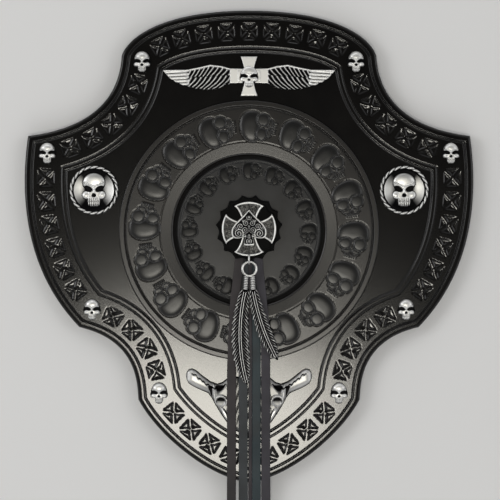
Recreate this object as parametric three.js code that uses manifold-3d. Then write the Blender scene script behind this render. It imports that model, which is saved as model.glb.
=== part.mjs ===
// A leather shield that lies on its flat back: a carved black body with a border of crosses, a roundel of
// tooled skulls, antique silver ornaments and five straps. Millimetres, +Z up, the shield's top towards
// +Y, the origin on the back face under the middle of the boss.
import * as THREE from 'three';
import { mergeVertices } from 'three/addons/utils/BufferGeometryUtils.js';
import Module from 'manifold-3d';

const wasm = await Module();
wasm.setup();

// Clearance between pieces that rest on one another
const gap = 0.3;

// Body thickness and its rolled edge, which ends in a groove
const bodyThickness = 12;
const edgeChamfer = 0.8;
const rollWidth = 4.6;
const rollDrop = 4.5;
const edgeGrooveWidth = 2;
const edgeGrooveDepth = 1.3;

// Border band: crosses between a stud at each corner, and a bead with a groove on each side
const bandInset = 15.5;
const crossPitch = 16.8;
const crossSide = 12.7;
const crossDepth = 1.1;
const crossWeb = 1.1;
const beadInset = 28.4;
const beadWidth = 3.2;
const beadHeight = 0.7;
const beadGrooveWidth = 1.5;
const beadGrooveDepth = 0.9;

// Bare leather left around the ornaments
const wingClearance = 3.3;
const wingTopClearance = 2.2;
const conchoClearance = 3.8;
const steerClearance = 5.4;
const steerFootClearance = 4.3;

// Roundel: the skull ring and the disc inside it
const skullCount = 16;
const ringOuterRadius = 93.6;
const ringInnerRadius = 54;
const ringThickness = 3;
const rimBeadWidth = 4.4;
const rimBeadHeight = 1.5;
const ringSkullRadius = 75;
const ringSkullScale = 1;
const discGap = 2.2;
const discRadius = ringInnerRadius - discGap;
const discThickness = 1.3;
const discSkullRadius = discRadius - 8.8;
const discSkullScale = 0.57;
const skullRelief = 2;

// Boss: a scalloped leather washer on a hub, and the cast cross with its spade and bail
const scallopCount = 15;
const rosetteRadius = 24.2;
const scallopDepth = 2.4;
const rosetteThickness = 2;
const hubRadius = 7.5;
const crossRadius = 19.5;
const crossArmHalfAngle = 0.58;
const crossNotchRadius = 8;
const crossThickness = 1.6;
const crossEdge = 1.5;
const crossRecess = 0.6;
const spadeWidth = 26;
const spadeHeight = 25.5;
const spadeThickness = 1.4;
const bailReach = 3.8;
const bailRise = 3.2;
const bailWire = 0.75;
const lugLength = 3.2;

// Feathers on their loops: the places of the stem's end and of the tip, and the sideways bow between them
const loopRadius = 5;
const loopWire = 0.7;
const stemRadius = 1.4;
const featherThickness = 1.4;
const longFeather = { stemEnd: [-2.4, -42], tip: [-1.2, -110.5], bow: -4.6, width: 15 };
const shortFeather = { stemEnd: [2.9, -42], tip: [20.5, -92.7], bow: -2.4, width: 12.5 };

// Straps
const strapThickness = 1.3;
const strapWidth = 6;
const narrowStrapWidth = 2.6;

// Cast ornaments on the body
const wingSpan = 124;
const wingHeight = 19.5;
const wingThickness = 2.4;
const wingCrossHeight = 28.2;
const wingCrossWidth = 12;
const hornSpan = 91;
const steerHeight = 47;
const steerThickness = 5;
const conchoRadius = 17.8;
const conchoBearing = 0.2544;
const conchoRimHeight = 3;
const conchoDishHeight = 2;
const conchoSkullHeight = 4.6;
const conchoSkullWidth = 15.5;
const conchoSkullLength = 23.5;
const studWidth = 12.6;
const studLength = 15.5;
const studHeight = 4;

// Places that follow from the roundel, what stands round it and the border
const borderWidth = beadInset + beadWidth / 2 + beadGrooveWidth;
const wingCentreHeight = ringOuterRadius + wingClearance + wingCrossHeight / 2;
const steerTopDepth = ringOuterRadius + steerClearance;
const conchoDistance = ringOuterRadius + conchoClearance + conchoRadius;
const topHeight = wingCentreHeight + wingCrossHeight / 2 + wingTopClearance + borderWidth;
const footDepth = steerTopDepth + steerHeight + steerFootClearance + borderWidth;

// Corners of the outline's right half, from the boss, the roundel and the two ends
const neckDrop = 32.8;
const neckHalfWidth = 92;
const shoulderReach = 65.9;
const shoulderHeight = 68.4;
const flankReach = 28.8;
const flankDepth = 69.8;
const footCornerRise = 59.8;
const footHalfWidth = 79.9;

const leather = (color) => new THREE.MeshStandardMaterial({ color, roughness: 0.42, metalness: 0 });
const silver = new THREE.MeshStandardMaterial({ color: '#b9b9b7', roughness: 0.3, metalness: 1 });
const bodyLeather = leather('#151412');
const ringLeather = leather('#2a2724');
const discLeather = leather('#232323');
const rosetteLeather = leather('#121212');
const strapLeathers = {
  a: leather('#3b3233'),
  b: leather('#34383c'),
  c: leather('#2c2430'),
  d: leather('#22373c'),
  e: leather('#3d3a43'),
};

// Closed solids, joined and cut

function outward(geometry) {
  // Turns a closed geometry's faces to point out: its signed volume is made positive
  const p = geometry.attributes.position;
  const index = geometry.index.array;
  const [a, b, c] = [new THREE.Vector3(), new THREE.Vector3(), new THREE.Vector3()];
  let volume = 0;
  for (let i = 0; i < index.length; i += 3) {
    a.fromBufferAttribute(p, index[i]);
    b.fromBufferAttribute(p, index[i + 1]);
    c.fromBufferAttribute(p, index[i + 2]);
    volume += a.dot(b.cross(c));
  }
  if (volume < 0) {
    for (let i = 0; i < index.length; i += 3) {
      [index[i + 1], index[i + 2]] = [index[i + 2], index[i + 1]];
    }
  }
  return geometry;
}

function welded(geometry) {
  // Only positions are kept, and vertices in one place become one
  const bare = geometry.clone();
  bare.deleteAttribute('normal');
  bare.deleteAttribute('uv');
  return outward(mergeVertices(bare, 1e-4));
}

function solidOf(geometry) {
  const closed = welded(geometry);
  return new wasm.Manifold(new wasm.Mesh({
    numProp: 3,
    vertProperties: new Float32Array(closed.attributes.position.array),
    triVerts: new Uint32Array(closed.index.array),
  }));
}

function geometryOf(solid) {
  const mesh = solid.getMesh();
  const geometry = new THREE.BufferGeometry();
  geometry.setAttribute('position', new THREE.BufferAttribute(Float32Array.from(mesh.vertProperties), 3));
  geometry.setIndex(new THREE.BufferAttribute(Uint32Array.from(mesh.triVerts), 1));
  return geometry;
}

function joined(solids) {
  return solids.reduce((whole, solid) => whole.add(solid));
}

function closedGeometry(vertices, triangles) {
  const geometry = new THREE.BufferGeometry();
  geometry.setAttribute('position', new THREE.Float32BufferAttribute(vertices.flat(), 3));
  geometry.setIndex(triangles.flat());
  return geometry;
}

function bridge(first, second, count) {
  // Triangles between two closed rows of count vertices that start at the indices first and second
  const faces = [];
  for (let i = 0; i < count; i += 1) {
    const j = (i + 1) % count;
    faces.push([first + i, first + j, second + j], [first + i, second + j, second + i]);
  }
  return faces;
}

function capFaces(loop, start) {
  const flat = loop.map(([x, y]) => new THREE.Vector2(x, y));
  return THREE.ShapeUtils.triangulateShape(flat, []).map((face) => face.map((k) => k + start));
}

function loft(loops) {
  // Solid through loops of as many points each, the first and last closed by caps
  const n = loops[0].length;
  const faces = loops.slice(1).flatMap((_, k) => bridge(k * n, (k + 1) * n, n));
  const bottom = capFaces(loops[0], 0).map(([a, b, c]) => [a, c, b]);
  const top = capFaces(loops.at(-1), (loops.length - 1) * n);
  return closedGeometry(loops.flat(), [...faces, ...bottom, ...top]);
}

function hoop(loops) {
  // Closed ring through loops that go once round its section
  const n = loops[0].length;
  const faces = loops.flatMap((_, k) => bridge(k * n, ((k + 1) % loops.length) * n, n));
  return closedGeometry(loops.flat(), faces);
}

function reliefPlate(grid, base) {
  // Solid between a grid of surface points and a flat underside at the height base
  const rows = grid.length;
  const columns = grid[0].length;
  const faces = [];
  for (let i = 0; i < rows - 1; i += 1) {
    for (let j = 0; j < columns - 1; j += 1) {
      const a = i * columns + j;
      faces.push([a, a + 1, a + columns + 1], [a, a + columns + 1, a + columns]);
    }
  }
  const rim = [];
  for (let j = 0; j < columns - 1; j += 1) rim.push(j);
  for (let i = 0; i < rows - 1; i += 1) rim.push(i * columns + columns - 1);
  for (let j = columns - 1; j > 0; j -= 1) rim.push((rows - 1) * columns + j);
  for (let i = rows - 1; i > 0; i -= 1) rim.push(i * columns);
  const flat = grid.flat();
  const under = rim.map((k) => [flat[k][0], flat[k][1], base]);
  const start = flat.length;
  rim.forEach((k, i) => {
    const j = (i + 1) % rim.length;
    faces.push([rim[j], k, start + i], [rim[j], start + i, start + j]);
  });
  const clockwise = THREE.ShapeUtils.area(under.map(([x, y]) => new THREE.Vector2(x, y))) < 0;
  faces.push(...capFaces(under, start).map(([a, b, c]) => (clockwise ? [a, b, c] : [a, c, b])));
  return closedGeometry([...flat, ...under], faces);
}

function turned(profile, segments) {
  // Lathe about +Z through [radius, height] points
  const points = profile.map(([radius, height]) => new THREE.Vector2(radius, height));
  return new THREE.LatheGeometry(points, segments).rotateX(Math.PI / 2);
}

function diskProfile(radius, bottom, top) {
  return [[0, bottom], [radius, bottom], [radius, top], [0, top]];
}

function dome(halfWidth, halfLength, height, segments) {
  // Half an ellipsoid with a flat base at height 0
  return turned([[0, 0], [1, 0], [0.74, 0.68], [0, 1]], segments).scale(halfWidth, halfLength, height);
}

function cone(halfWidth, halfLength, height, segments) {
  return turned([[0, 0], [1, 0], [0, 1]], segments).scale(halfWidth, halfLength, height);
}

function prism(points, bottom, top) {
  const shape = new THREE.Shape(points.map(([x, y]) => new THREE.Vector2(x, y)));
  const solid = new THREE.ExtrudeGeometry(shape, { depth: top - bottom, bevelEnabled: false });
  return solid.translate(0, 0, bottom);
}

function pyramid(corners, top, tip) {
  // Three corners at the height top over one point
  const base = corners.map(([x, y]) => [x, y, top]);
  return closedGeometry([...base, tip], [[0, 1, 2], [0, 3, 1], [1, 3, 2], [2, 3, 0]]);
}

// Outline of the body and its insets

const neck = new THREE.Vector2(neckHalfWidth, topHeight - neckDrop);
const shoulder = new THREE.Vector2(ringOuterRadius + shoulderReach, shoulderHeight);
const flank = new THREE.Vector2(ringOuterRadius + flankReach, -flankDepth);
const foot = new THREE.Vector2(footHalfWidth, footCornerRise - footDepth);
const crown = new THREE.Vector2(0, topHeight);
const toe = new THREE.Vector2(0, -footDepth);

function curveBetween(start, startHandle, end, endHandle, steps) {
  // Bezier curve whose handles are steps from its two ends, as shares of the chord along it and to its left
  const chord = end.clone().sub(start);
  const left = new THREE.Vector2(-chord.y, chord.x);
  const [first, second] = [[start, startHandle], [end, endHandle]].map(([from, [along, across]]) => (
    from.clone().addScaledVector(chord, along).addScaledVector(left, across)));
  return new THREE.CubicBezierCurve(start, first, second, end).getPoints(steps);
}

const v = (x, y) => new THREE.Vector2(x, y);
const mirrored = (points) => points.map((p) => v(-p.x, p.y)).reverse();

const rightFoot = curveBetween(toe, [0.259, -0.151], foot, [-0.251, -0.121], 7);
const rightLow = curveBetween(foot, [0.137, 0.093], flank, [-0.509, 0.396], 5);
const rightSide = curveBetween(flank, [0.327, -0.183], shoulder, [-0.313, -0.135], 7);
const rightShoulder = curveBetween(shoulder, [0.53, 0.35], neck, [-0.166, 0.171], 6);
const rightTop = curveBetween(neck, [0.073, -0.104], crown, [-0.627, -0.223], 7);
const arcs = [
  [...mirrored(rightFoot), ...rightFoot.slice(1)],
  rightLow, rightSide, rightShoulder,
  [...rightTop, ...mirrored(rightTop).slice(1)],
  mirrored(rightShoulder), mirrored(rightSide), mirrored(rightLow),
];

function inwardNormals(points, closed) {
  // At each point, the inward direction whose length keeps both edges at one distance
  const n = points.length;
  const edges = points.map((p, i) => {
    const step = points[(i + 1) % n].clone().sub(p).normalize();
    return v(-step.y, step.x);
  });
  return points.map((_, i) => {
    if (!closed && i === 0) return edges[0].clone();
    if (!closed && i === n - 1) return edges[n - 2].clone();
    const before = edges[(i - 1 + n) % n];
    return before.clone().add(edges[i]).divideScalar(1 + before.dot(edges[i]));
  });
}

function shifted(points, inset, closed) {
  const normals = inwardNormals(points, closed);
  return points.map((p, i) => p.clone().addScaledVector(normals[i], inset));
}

function crossing(first, second) {
  // The place where the end of one line of points crosses the start of the next
  for (let i = first.length - 2; i >= 0; i -= 1) {
    for (let j = 0; j < second.length - 1; j += 1) {
      const [a, c] = [first[i], second[j]];
      const r = first[i + 1].clone().sub(a);
      const s = second[j + 1].clone().sub(c);
      const turn = r.cross(s);
      const along = c.clone().sub(a).cross(s) / turn;
      const across = c.clone().sub(a).cross(r) / turn;
      if (along >= 0 && along <= 1 && across >= 0 && across <= 1) {
        return { point: a.clone().addScaledVector(r, along), before: i, after: j };
      }
    }
  }
  return { point: second[0].clone(), before: first.length - 2, after: 0 };
}

function insetArcs(inset) {
  // Each stretch of the border moved inward and cut where it crosses its neighbours
  const moved = arcs.map((arc) => shifted(arc, inset, false));
  const corners = moved.map((arc, i) => crossing(arc, moved[(i + 1) % moved.length]));
  return moved.map((arc, i) => {
    const from = corners[(i - 1 + corners.length) % corners.length];
    const to = corners[i];
    return [from.point, ...arc.slice(from.after + 1, to.before + 1), to.point];
  });
}

function insetLoop(inset) {
  return insetArcs(inset).flatMap((arc) => arc.slice(0, -1));
}

const atHeight = (points, z) => points.map((p) => [p.x, p.y, z]);
const outline = insetLoop(0);

function crossStations() {
  // Crosses evenly between the two studs of each stretch of the band
  return insetArcs(bandInset).flatMap((arc) => {
    const route = new THREE.CurvePath();
    arc.slice(1).forEach((p, i) => route.add(new THREE.LineCurve(arc[i], p)));
    const count = Math.max(1, Math.round(route.getLength() / crossPitch) - 1);
    return Array.from({ length: count }, (_, i) => {
      const share = (i + 1) / (count + 1);
      return { place: route.getPointAt(share), along: route.getTangentAt(share) };
    });
  });
}

// Shield body

function bodyBlank() {
  const profile = [
    [edgeChamfer, 0], [0, edgeChamfer], [0, bodyThickness - rollDrop],
    [rollWidth * 0.3, bodyThickness - rollDrop * 0.35],
    [rollWidth, bodyThickness], [rollWidth + edgeGrooveWidth / 2, bodyThickness - edgeGrooveDepth],
    [rollWidth + edgeGrooveWidth, bodyThickness],
  ];
  return solidOf(loft(profile.map(([inset, z]) => atHeight(shifted(outline, inset, true), z))));
}

function bandHoop(centreInset, section) {
  // Ring along the border with a section of [inset from its middle, height] points
  const middle = insetLoop(centreInset);
  return solidOf(hoop(section.map(([inset, z]) => atHeight(shifted(middle, inset, true), z))));
}

function crossCutter({ place, along }) {
  // One of the four chips of a cross, deepest towards its outer side
  const side = crossSide / 2;
  const edge = side - crossWeb;
  const root = crossWeb * 0.9;
  const chip = pyramid(
    [[root, 0], [side, -edge], [side, edge]],
    bodyThickness + gap / 2,
    [side * 0.72, 0, bodyThickness - crossDepth],
  );
  const angle = Math.atan2(along.y, along.x);
  return Array.from({ length: 4 }, (_, k) => chip.clone().rotateZ(angle + k * Math.PI / 2)
    .translate(place.x, place.y, 0));
}

function shieldBody() {
  const half = beadWidth / 2;
  const root = bodyThickness - beadGrooveDepth * 2;
  const crest = bodyThickness + beadHeight;
  const bead = bandHoop(beadInset, [
    [-half, root], [-half, bodyThickness], [-half * 0.6, crest],
    [half * 0.6, crest], [half, bodyThickness], [half, root],
  ]);
  const grooves = [-1, 1].map((side) => {
    const near = side * half;
    const far = side * (half + beadGrooveWidth);
    return bandHoop(beadInset, [
      [near, bodyThickness + gap], [near, bodyThickness - beadGrooveDepth], [far, bodyThickness + gap],
    ]);
  });
  const chips = crossStations().flatMap(crossCutter).map(solidOf);
  const beaded = bodyBlank().add(bead);
  return geometryOf([...grooves, ...chips].reduce((body, cutter) => body.subtract(cutter), beaded));
}

// Tooled skulls that follow one another round the roundel, crown first, counter-clockwise

function tooledSkull(base, radius, angle, scale) {
  // Cranium, two eyes and teeth, in millimetres of the large skull times the scale
  const pieces = [
    dome(6.2, 10.6, skullRelief, 6).translate(6.5, 0, 0),
    cone(4.2, 4.6, skullRelief * 0.7, 4).translate(-4.7, -5.6, 0),
    cone(4.2, 4.6, skullRelief * 0.7, 4).translate(-4.7, 5.6, 0),
    cone(2.6, 3.8, skullRelief * 0.6, 4).translate(-11.8, 0, 0),
  ];
  return joined(pieces.map((piece) => solidOf(piece.scale(scale, scale, 1).translate(0, -radius, base)
    .rotateZ(angle + Math.PI / 2))));
}

function skullRow(base, radius, scale, turn) {
  return Array.from({ length: skullCount }, (_, i) => (
    tooledSkull(base, radius, (i * 2 * Math.PI) / skullCount + turn, scale)));
}

const ringBase = bodyThickness + gap;
const ringTop = ringBase + ringThickness;
const discTop = ringBase + discThickness;
const ringSkullTurn = -0.07;
const discSkullTurn = -0.036;
const sunk = 0.4;

function skullRing() {
  const rimInner = ringOuterRadius - rimBeadWidth;
  const ring = solidOf(turned([
    [ringInnerRadius, ringBase], [ringOuterRadius, ringBase], [ringOuterRadius, ringTop],
    [ringOuterRadius - rimBeadWidth * 0.3, ringTop + rimBeadHeight],
    [ringOuterRadius - rimBeadWidth * 0.7, ringTop + rimBeadHeight], [rimInner, ringTop],
    [ringInnerRadius, ringTop], [ringInnerRadius, ringBase],
  ], 36));
  const skulls = skullRow(ringTop - sunk, ringSkullRadius, ringSkullScale, ringSkullTurn);
  return geometryOf(joined([ring, ...skulls]));
}

function centreDisc() {
  const disc = solidOf(turned(diskProfile(discRadius, ringBase, discTop), 32));
  const skulls = skullRow(discTop - sunk, discSkullRadius, discSkullScale, discSkullTurn);
  return geometryOf(joined([disc, ...skulls]));
}

// Boss. Two layers of strap pass under the washer, beside the hub.

const strapLayer = strapThickness + gap;
const hubBase = discTop + gap;
const rosetteBase = hubBase + 2 * strapLayer;
const crossBase = rosetteBase + rosetteThickness + gap;
const crossTop = crossBase + crossThickness;
const spadeTop = crossTop + spadeThickness;

function rosette() {
  const points = Array.from({ length: scallopCount * 3 }, (_, i) => {
    const angle = ((i / 3 + 0.25) * 2 * Math.PI) / scallopCount;
    const radius = rosetteRadius - scallopDepth * [0, 1, 1][i % 3];
    return [radius * Math.cos(angle), radius * Math.sin(angle)];
  });
  const hub = turned(diskProfile(hubRadius, hubBase, rosetteBase + gap), 10);
  const washer = prism(points, rosetteBase, rosetteBase + rosetteThickness);
  return geometryOf(solidOf(washer).add(solidOf(hub)));
}

function crossOutline(inset) {
  // Four arms with arc ends, their flanks curving in to the notches between them; inset draws it smaller
  const points = [];
  const outer = crossRadius - inset;
  const half = crossArmHalfAngle - inset / crossRadius;
  for (let arm = 0; arm < 4; arm += 1) {
    const middle = (arm * Math.PI) / 2;
    for (let i = 0; i <= 3; i += 1) {
      const angle = middle - half + (i * half * 2) / 3;
      points.push([outer * Math.cos(angle), outer * Math.sin(angle)]);
    }
    const notch = middle + Math.PI / 4;
    const reach = crossNotchRadius - inset * Math.SQRT2;
    const waist = (outer + reach) / 2;
    const bow = 0.8 * half;
    points.push([waist * Math.cos(middle + bow), waist * Math.sin(middle + bow)]);
    points.push([reach * Math.cos(notch), reach * Math.sin(notch)]);
    const next = middle + Math.PI / 2 - bow;
    points.push([waist * Math.cos(next), waist * Math.sin(next)]);
  }
  return points;
}

function spadeOutline() {
  // Right half from the tip down, as shares of the width and height, then mirrored
  const right = [
    [0, 0.5], [0.14, 0.36], [0.32, 0.17], [0.46, -0.02], [0.5, -0.14], [0.45, -0.26], [0.32, -0.32],
    [0.18, -0.27], [0.06, -0.18], [0.1, -0.36], [0.17, -0.5],
  ];
  const left = right.slice(1).map(([x, y]) => [-x, y]).reverse();
  return [...right, ...left].map(([x, y]) => [x * spadeWidth, y * spadeHeight]);
}

// The bail stands on edge over the washer's rim, on a lug at the cross's foot
const bossRise = 1;
const bailMiddle = -(crossRadius + bailReach * 0.55);
const bailHeight = crossBase + bailWire + bailRise;

function bail() {
  const section = Array.from({ length: 11 }, (_, i) => (i * 2 * Math.PI) / 11);
  const sides = Array.from({ length: 6 }, (_, i) => (i * Math.PI) / 3);
  return closedGeometry(
    section.flatMap((turn) => sides.map((side) => {
      const out = bailWire * Math.cos(side);
      const [y, z] = [(bailReach + out) * Math.cos(turn), (bailRise + out) * Math.sin(turn)];
      return [bailWire * Math.sin(side), bailMiddle + y, bailHeight + z];
    })),
    section.flatMap((_, i) => bridge(i * 6, ((i + 1) % 11) * 6, 6)),
  );
}

function crossConcho() {
  const plate = solidOf(prism(crossOutline(0), crossBase, crossTop));
  const floor = solidOf(prism(crossOutline(crossEdge), crossTop - crossRecess, crossTop + gap));
  const spade = solidOf(prism(spadeOutline(), crossBase + gap, spadeTop));
  const lug = solidOf(new THREE.BoxGeometry(bailWire * 2.2, lugLength, bailRise + bailWire)
    .translate(0, -crossRadius, crossBase + (bailRise + bailWire) / 2));
  return geometryOf(joined([plate.subtract(floor), spade, lug, solidOf(bail())]));
}

// Feathers: a loop through the bail, a bound stem, and a vane whose spine bows between stem and tip

function featherGrid({ stemEnd, tip, bow, width }, base) {
  const rows = 8;
  return Array.from({ length: rows }, (_, i) => {
    const share = i / (rows - 1);
    const swell = Math.sin(Math.PI * (0.1 + share * 0.84)) ** 0.7;
    const half = 0.5 * width * swell * (i % 2 ? 1 : 0.86);
    const x = stemEnd[0] + (tip[0] - stemEnd[0]) * share + bow * Math.sin(Math.PI * share);
    const y = stemEnd[1] + (tip[1] - stemEnd[1]) * share;
    const barb = Math.min(half * 0.35, (1 - share) * 6);
    return [[-1, 0.5], [-0.2, 0.75], [0, 1], [0.2, 0.75], [1, 0.5]].map(([side, height]) => [
      x + side * half, y - Math.abs(side) * barb, base + height * featherThickness,
    ]);
  });
}

function feather(form) {
  const { loopHeight, loopShift, stemEnd, base, side } = form;
  const middle = new THREE.Vector3(loopShift, loopMiddle, loopHeight);
  const startX = loopShift + (stemEnd[0] - loopShift) * 0.4;
  const startZ = loopHeight + side * (stemRadius - loopWire);
  const start = new THREE.Vector3(startX, loopMiddle - loopRadius, startZ);
  const end = new THREE.Vector3(stemEnd[0], stemEnd[1] - stemRadius, base + featherThickness * 0.6);
  const along = end.clone().sub(start);
  const turn = new THREE.Quaternion();
  turn.setFromUnitVectors(new THREE.Vector3(0, 1, 0), along.clone().normalize());
  const stem = new THREE.CylinderGeometry(stemRadius, stemRadius, along.length(), 6).applyQuaternion(turn)
    .translate(...start.clone().add(end).multiplyScalar(0.5));
  const loop = new THREE.TorusGeometry(loopRadius, loopWire, 5, 10).translate(...middle);
  return geometryOf(joined([loop, stem, reliefPlate(featherGrid(form, base), base)].map(solidOf)));
}

// The loops hang side by side in the bail, and the vanes lie on the straps, the short one over the long one
const loopMiddle = bossRise + bailMiddle - (bailReach - bailWire) + loopWire - loopRadius + gap * 1.5;
const featherBase = ringTop + skullRelief + strapLayer + 2 * gap;
const longForm = {
  ...longFeather,
  side: -1,
  loopShift: 0,
  loopHeight: bailHeight - gap / 2 - loopWire,
  base: featherBase,
};
const shortForm = {
  ...shortFeather,
  side: 1,
  loopShift: 0.5,
  loopHeight: bailHeight + gap / 2 + loopWire,
  base: featherBase + featherThickness + gap,
};

// Straps: flat thongs from under the washer, over the roundel, the steer skull and the foot, to the floor

class StrapRoute extends THREE.CatmullRomCurve3 {
  // The strap bends at its chosen points, and its width stays level and square to its way
  getSpacedPoints() {
    return this.points;
  }

  computeFrenetFrames(steps) {
    const frames = { tangents: [], normals: [], binormals: [] };
    for (let i = 0; i <= steps; i += 1) {
      const before = this.points[Math.max(0, i - 1)];
      const after = this.points[Math.min(steps, i + 1)];
      const tangent = after.clone().sub(before).normalize();
      const across = new THREE.Vector3(-tangent.y, tangent.x, 0).normalize();
      frames.tangents.push(tangent);
      frames.normals.push(across);
      frames.binormals.push(tangent.clone().cross(across));
    }
    return frames;
  }
}

function strap(points, width) {
  const [w, t, bevel] = [width / 2, strapThickness / 2, strapThickness * 0.3];
  const section = new THREE.Shape([
    v(-w, -t + bevel), v(-w + bevel, -t), v(w - bevel, -t), v(w, -t + bevel),
    v(w, t - bevel), v(w - bevel, t), v(-w + bevel, t), v(-w, t - bevel),
  ]);
  const route = new StrapRoute(points.map((p) => new THREE.Vector3(...p)));
  return welded(new THREE.ExtrudeGeometry(section, { steps: points.length - 1, extrudePath: route }));
}

// Winged cross: two wings, a flared cross and a skull, cast in one

const castBase = bodyThickness + gap;

// Upper and lower edge of the right wing, as [share of the half span, share of the height above, below]
const wingEdges = [
  [0.03, 0.25, 0.22], [0.22, 0.3, 0.27], [0.29, 0.33, 0.41], [0.37, 0.38, 0.49],
  [0.45, 0.44, 0.53], [0.53, 0.41, 0.52], [0.6, 0.36, 0.49], [0.68, 0.29, 0.43],
  [0.76, 0.24, 0.35], [0.84, 0.24, 0.25], [0.92, 0.235, 0.1], [1, 0.23, -0.21],
];

function wingGrid() {
  // Two rows of feathers as ridges that slant back, under a thick leading edge
  return wingEdges.map(([share, above, below], i) => {
    const x = (share * wingSpan) / 2;
    const [top, bottom] = [above * wingHeight, -below * wingHeight];
    const ridge = wingThickness * (i < 2 || i % 2 ? 0.9 : 0.5);
    const slant = i < 2 || i > wingEdges.length - 2 ? 0 : wingHeight * 0.1;
    return [
      [x, top, castBase + wingThickness * 0.5], [x, top - (top - bottom) * 0.16, castBase + wingThickness],
      [x, top - (top - bottom) * 0.55, castBase + ridge], [x + slant, bottom, castBase + ridge * 0.7],
    ];
  });
}

function flaredCross(width, height, waist, bottom, top) {
  const [w, h] = [width / 2, height / 2];
  return prism([
    [-w, h], [-waist, h * 0.35], [-waist, -h * 0.35], [-w, -h],
    [w, -h], [waist, -h * 0.35], [waist, h * 0.35], [w, h],
  ], bottom, top);
}

function castSkull(width, length, height, sides) {
  // Upright skull on a flat base: cranium, cheekbones and jaw, with eye and nose sockets cut in
  const cranium = dome(width / 2, length * 0.36, height, sides).translate(0, length * 0.14, 0);
  const cheeks = prism([
    [-0.46, 0.04], [-0.42, -0.2], [-0.24, -0.26], [-0.2, -0.5],
    [0.2, -0.5], [0.24, -0.26], [0.42, -0.2], [0.46, 0.04],
  ].map(([x, y]) => [x * width, y * length]), 0, height * 0.62);
  const socket = (side) => pyramid(
    [[0.05, -0.1], [0.42, -0.12], [0.36, 0.1]].map(([x, y]) => [side * x * width, y * length]),
    height * 1.3,
    [side * width * 0.25, -length * 0.04, height * 0.25],
  );
  const nose = pyramid(
    [[-width * 0.1, -length * 0.26], [width * 0.1, -length * 0.26], [0, -length * 0.06]],
    height * 1.1, [0, -length * 0.2, height * 0.3],
  );
  return [socket(-1), socket(1), nose].reduce(
    (skull, cutter) => skull.subtract(solidOf(cutter)), solidOf(cranium).add(solidOf(cheeks)),
  );
}

function wingedCross() {
  const grid = wingGrid();
  const right = solidOf(reliefPlate(grid, castBase));
  const left = solidOf(reliefPlate(grid.map((row) => row.map(([x, y, z]) => [-x, y, z])), castBase));
  const cross = solidOf(flaredCross(
    wingCrossWidth, wingCrossHeight, wingCrossWidth * 0.3, castBase, castBase + wingThickness,
  ));
  const skull = castSkull(wingCrossWidth, wingCrossHeight * 0.55, wingThickness * 1.6, 8)
    .translate([0, 0, castBase]);
  return geometryOf(joined([right, left, cross, skull])).translate(0, wingCentreHeight, 0);
}

// Steer skull: a face between two horns that rise to blunt tips

// Horn from the brow to the tip: [share of the half span, middle and half thickness as shares of the height]
const hornStations = [
  [0.3, 0.2, 0.13], [0.5, 0.15, 0.115], [0.64, 0.22, 0.105], [0.77, 0.3, 0.122], [0.89, 0.355, 0.14],
  [0.96, 0.36, 0.11], [1, 0.36, 0.03],
];
// Face from the brow down: [height, half width, both as shares of the height, depth of the eye hollows]
const faceStations = [
  [0.39, 0.3, 1], [0.27, 0.42, 1], [0.12, 0.5, 1], [-0.03, 0.51, 0.45], [-0.16, 0.43, 0.8], [-0.33, 0.34, 1],
  [-0.5, 0.19, 1],
];

function hornGrid() {
  return hornStations.map(([share, middle, half], i) => {
    const height = steerThickness * (0.9 - i * 0.05);
    return [-1, -0.55, 0.35, 1].map((row, k) => [
      (share * hornSpan) / 2, (middle + row * half) * steerHeight, castBase + height * [0.3, 1, 1, 0.3][k],
    ]);
  });
}

function steerFaceGrid() {
  return faceStations.map(([y, half, eye]) => {
    const heights = [0.3, 0.85 * eye, 1, 0.85 * eye, 0.3];
    return [-1, -0.78, 0, 0.78, 1].map((column, k) => [
      column * half * steerHeight, y * steerHeight, castBase + steerThickness * heights[k],
    ]);
  });
}

function steerSkull() {
  const horn = hornGrid();
  const right = solidOf(reliefPlate(horn, castBase));
  const left = solidOf(reliefPlate(horn.map((row) => row.map(([x, y, z]) => [-x, y, z])), castBase));
  const face = solidOf(reliefPlate(steerFaceGrid(), castBase));
  return geometryOf(joined([face, right, left])).translate(0, -(steerTopDepth + steerHeight / 2), 0);
}

// Round conchos and corner studs

function roundConcho() {
  const rim = conchoRadius * 0.13;
  const dish = solidOf(turned([
    [0, castBase], [conchoRadius, castBase], [conchoRadius, castBase + conchoRimHeight * 0.6],
    [conchoRadius - rim * 0.5, castBase + conchoRimHeight],
    [conchoRadius - rim, castBase + conchoDishHeight * 0.6],
    [conchoRadius * 0.5, castBase + conchoDishHeight], [0, castBase + conchoDishHeight],
  ], 18));
  const skull = castSkull(conchoSkullWidth, conchoSkullLength, conchoSkullHeight, 8)
    .translate([0, 0, castBase + conchoDishHeight * 0.4]);
  return geometryOf(dish.add(skull));
}

function placed(name, geometry, material, x = 0, y = 0) {
  const mesh = new THREE.Mesh(geometry, material);
  mesh.name = name;
  mesh.position.set(x, y, 0);
  return mesh;
}

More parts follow.
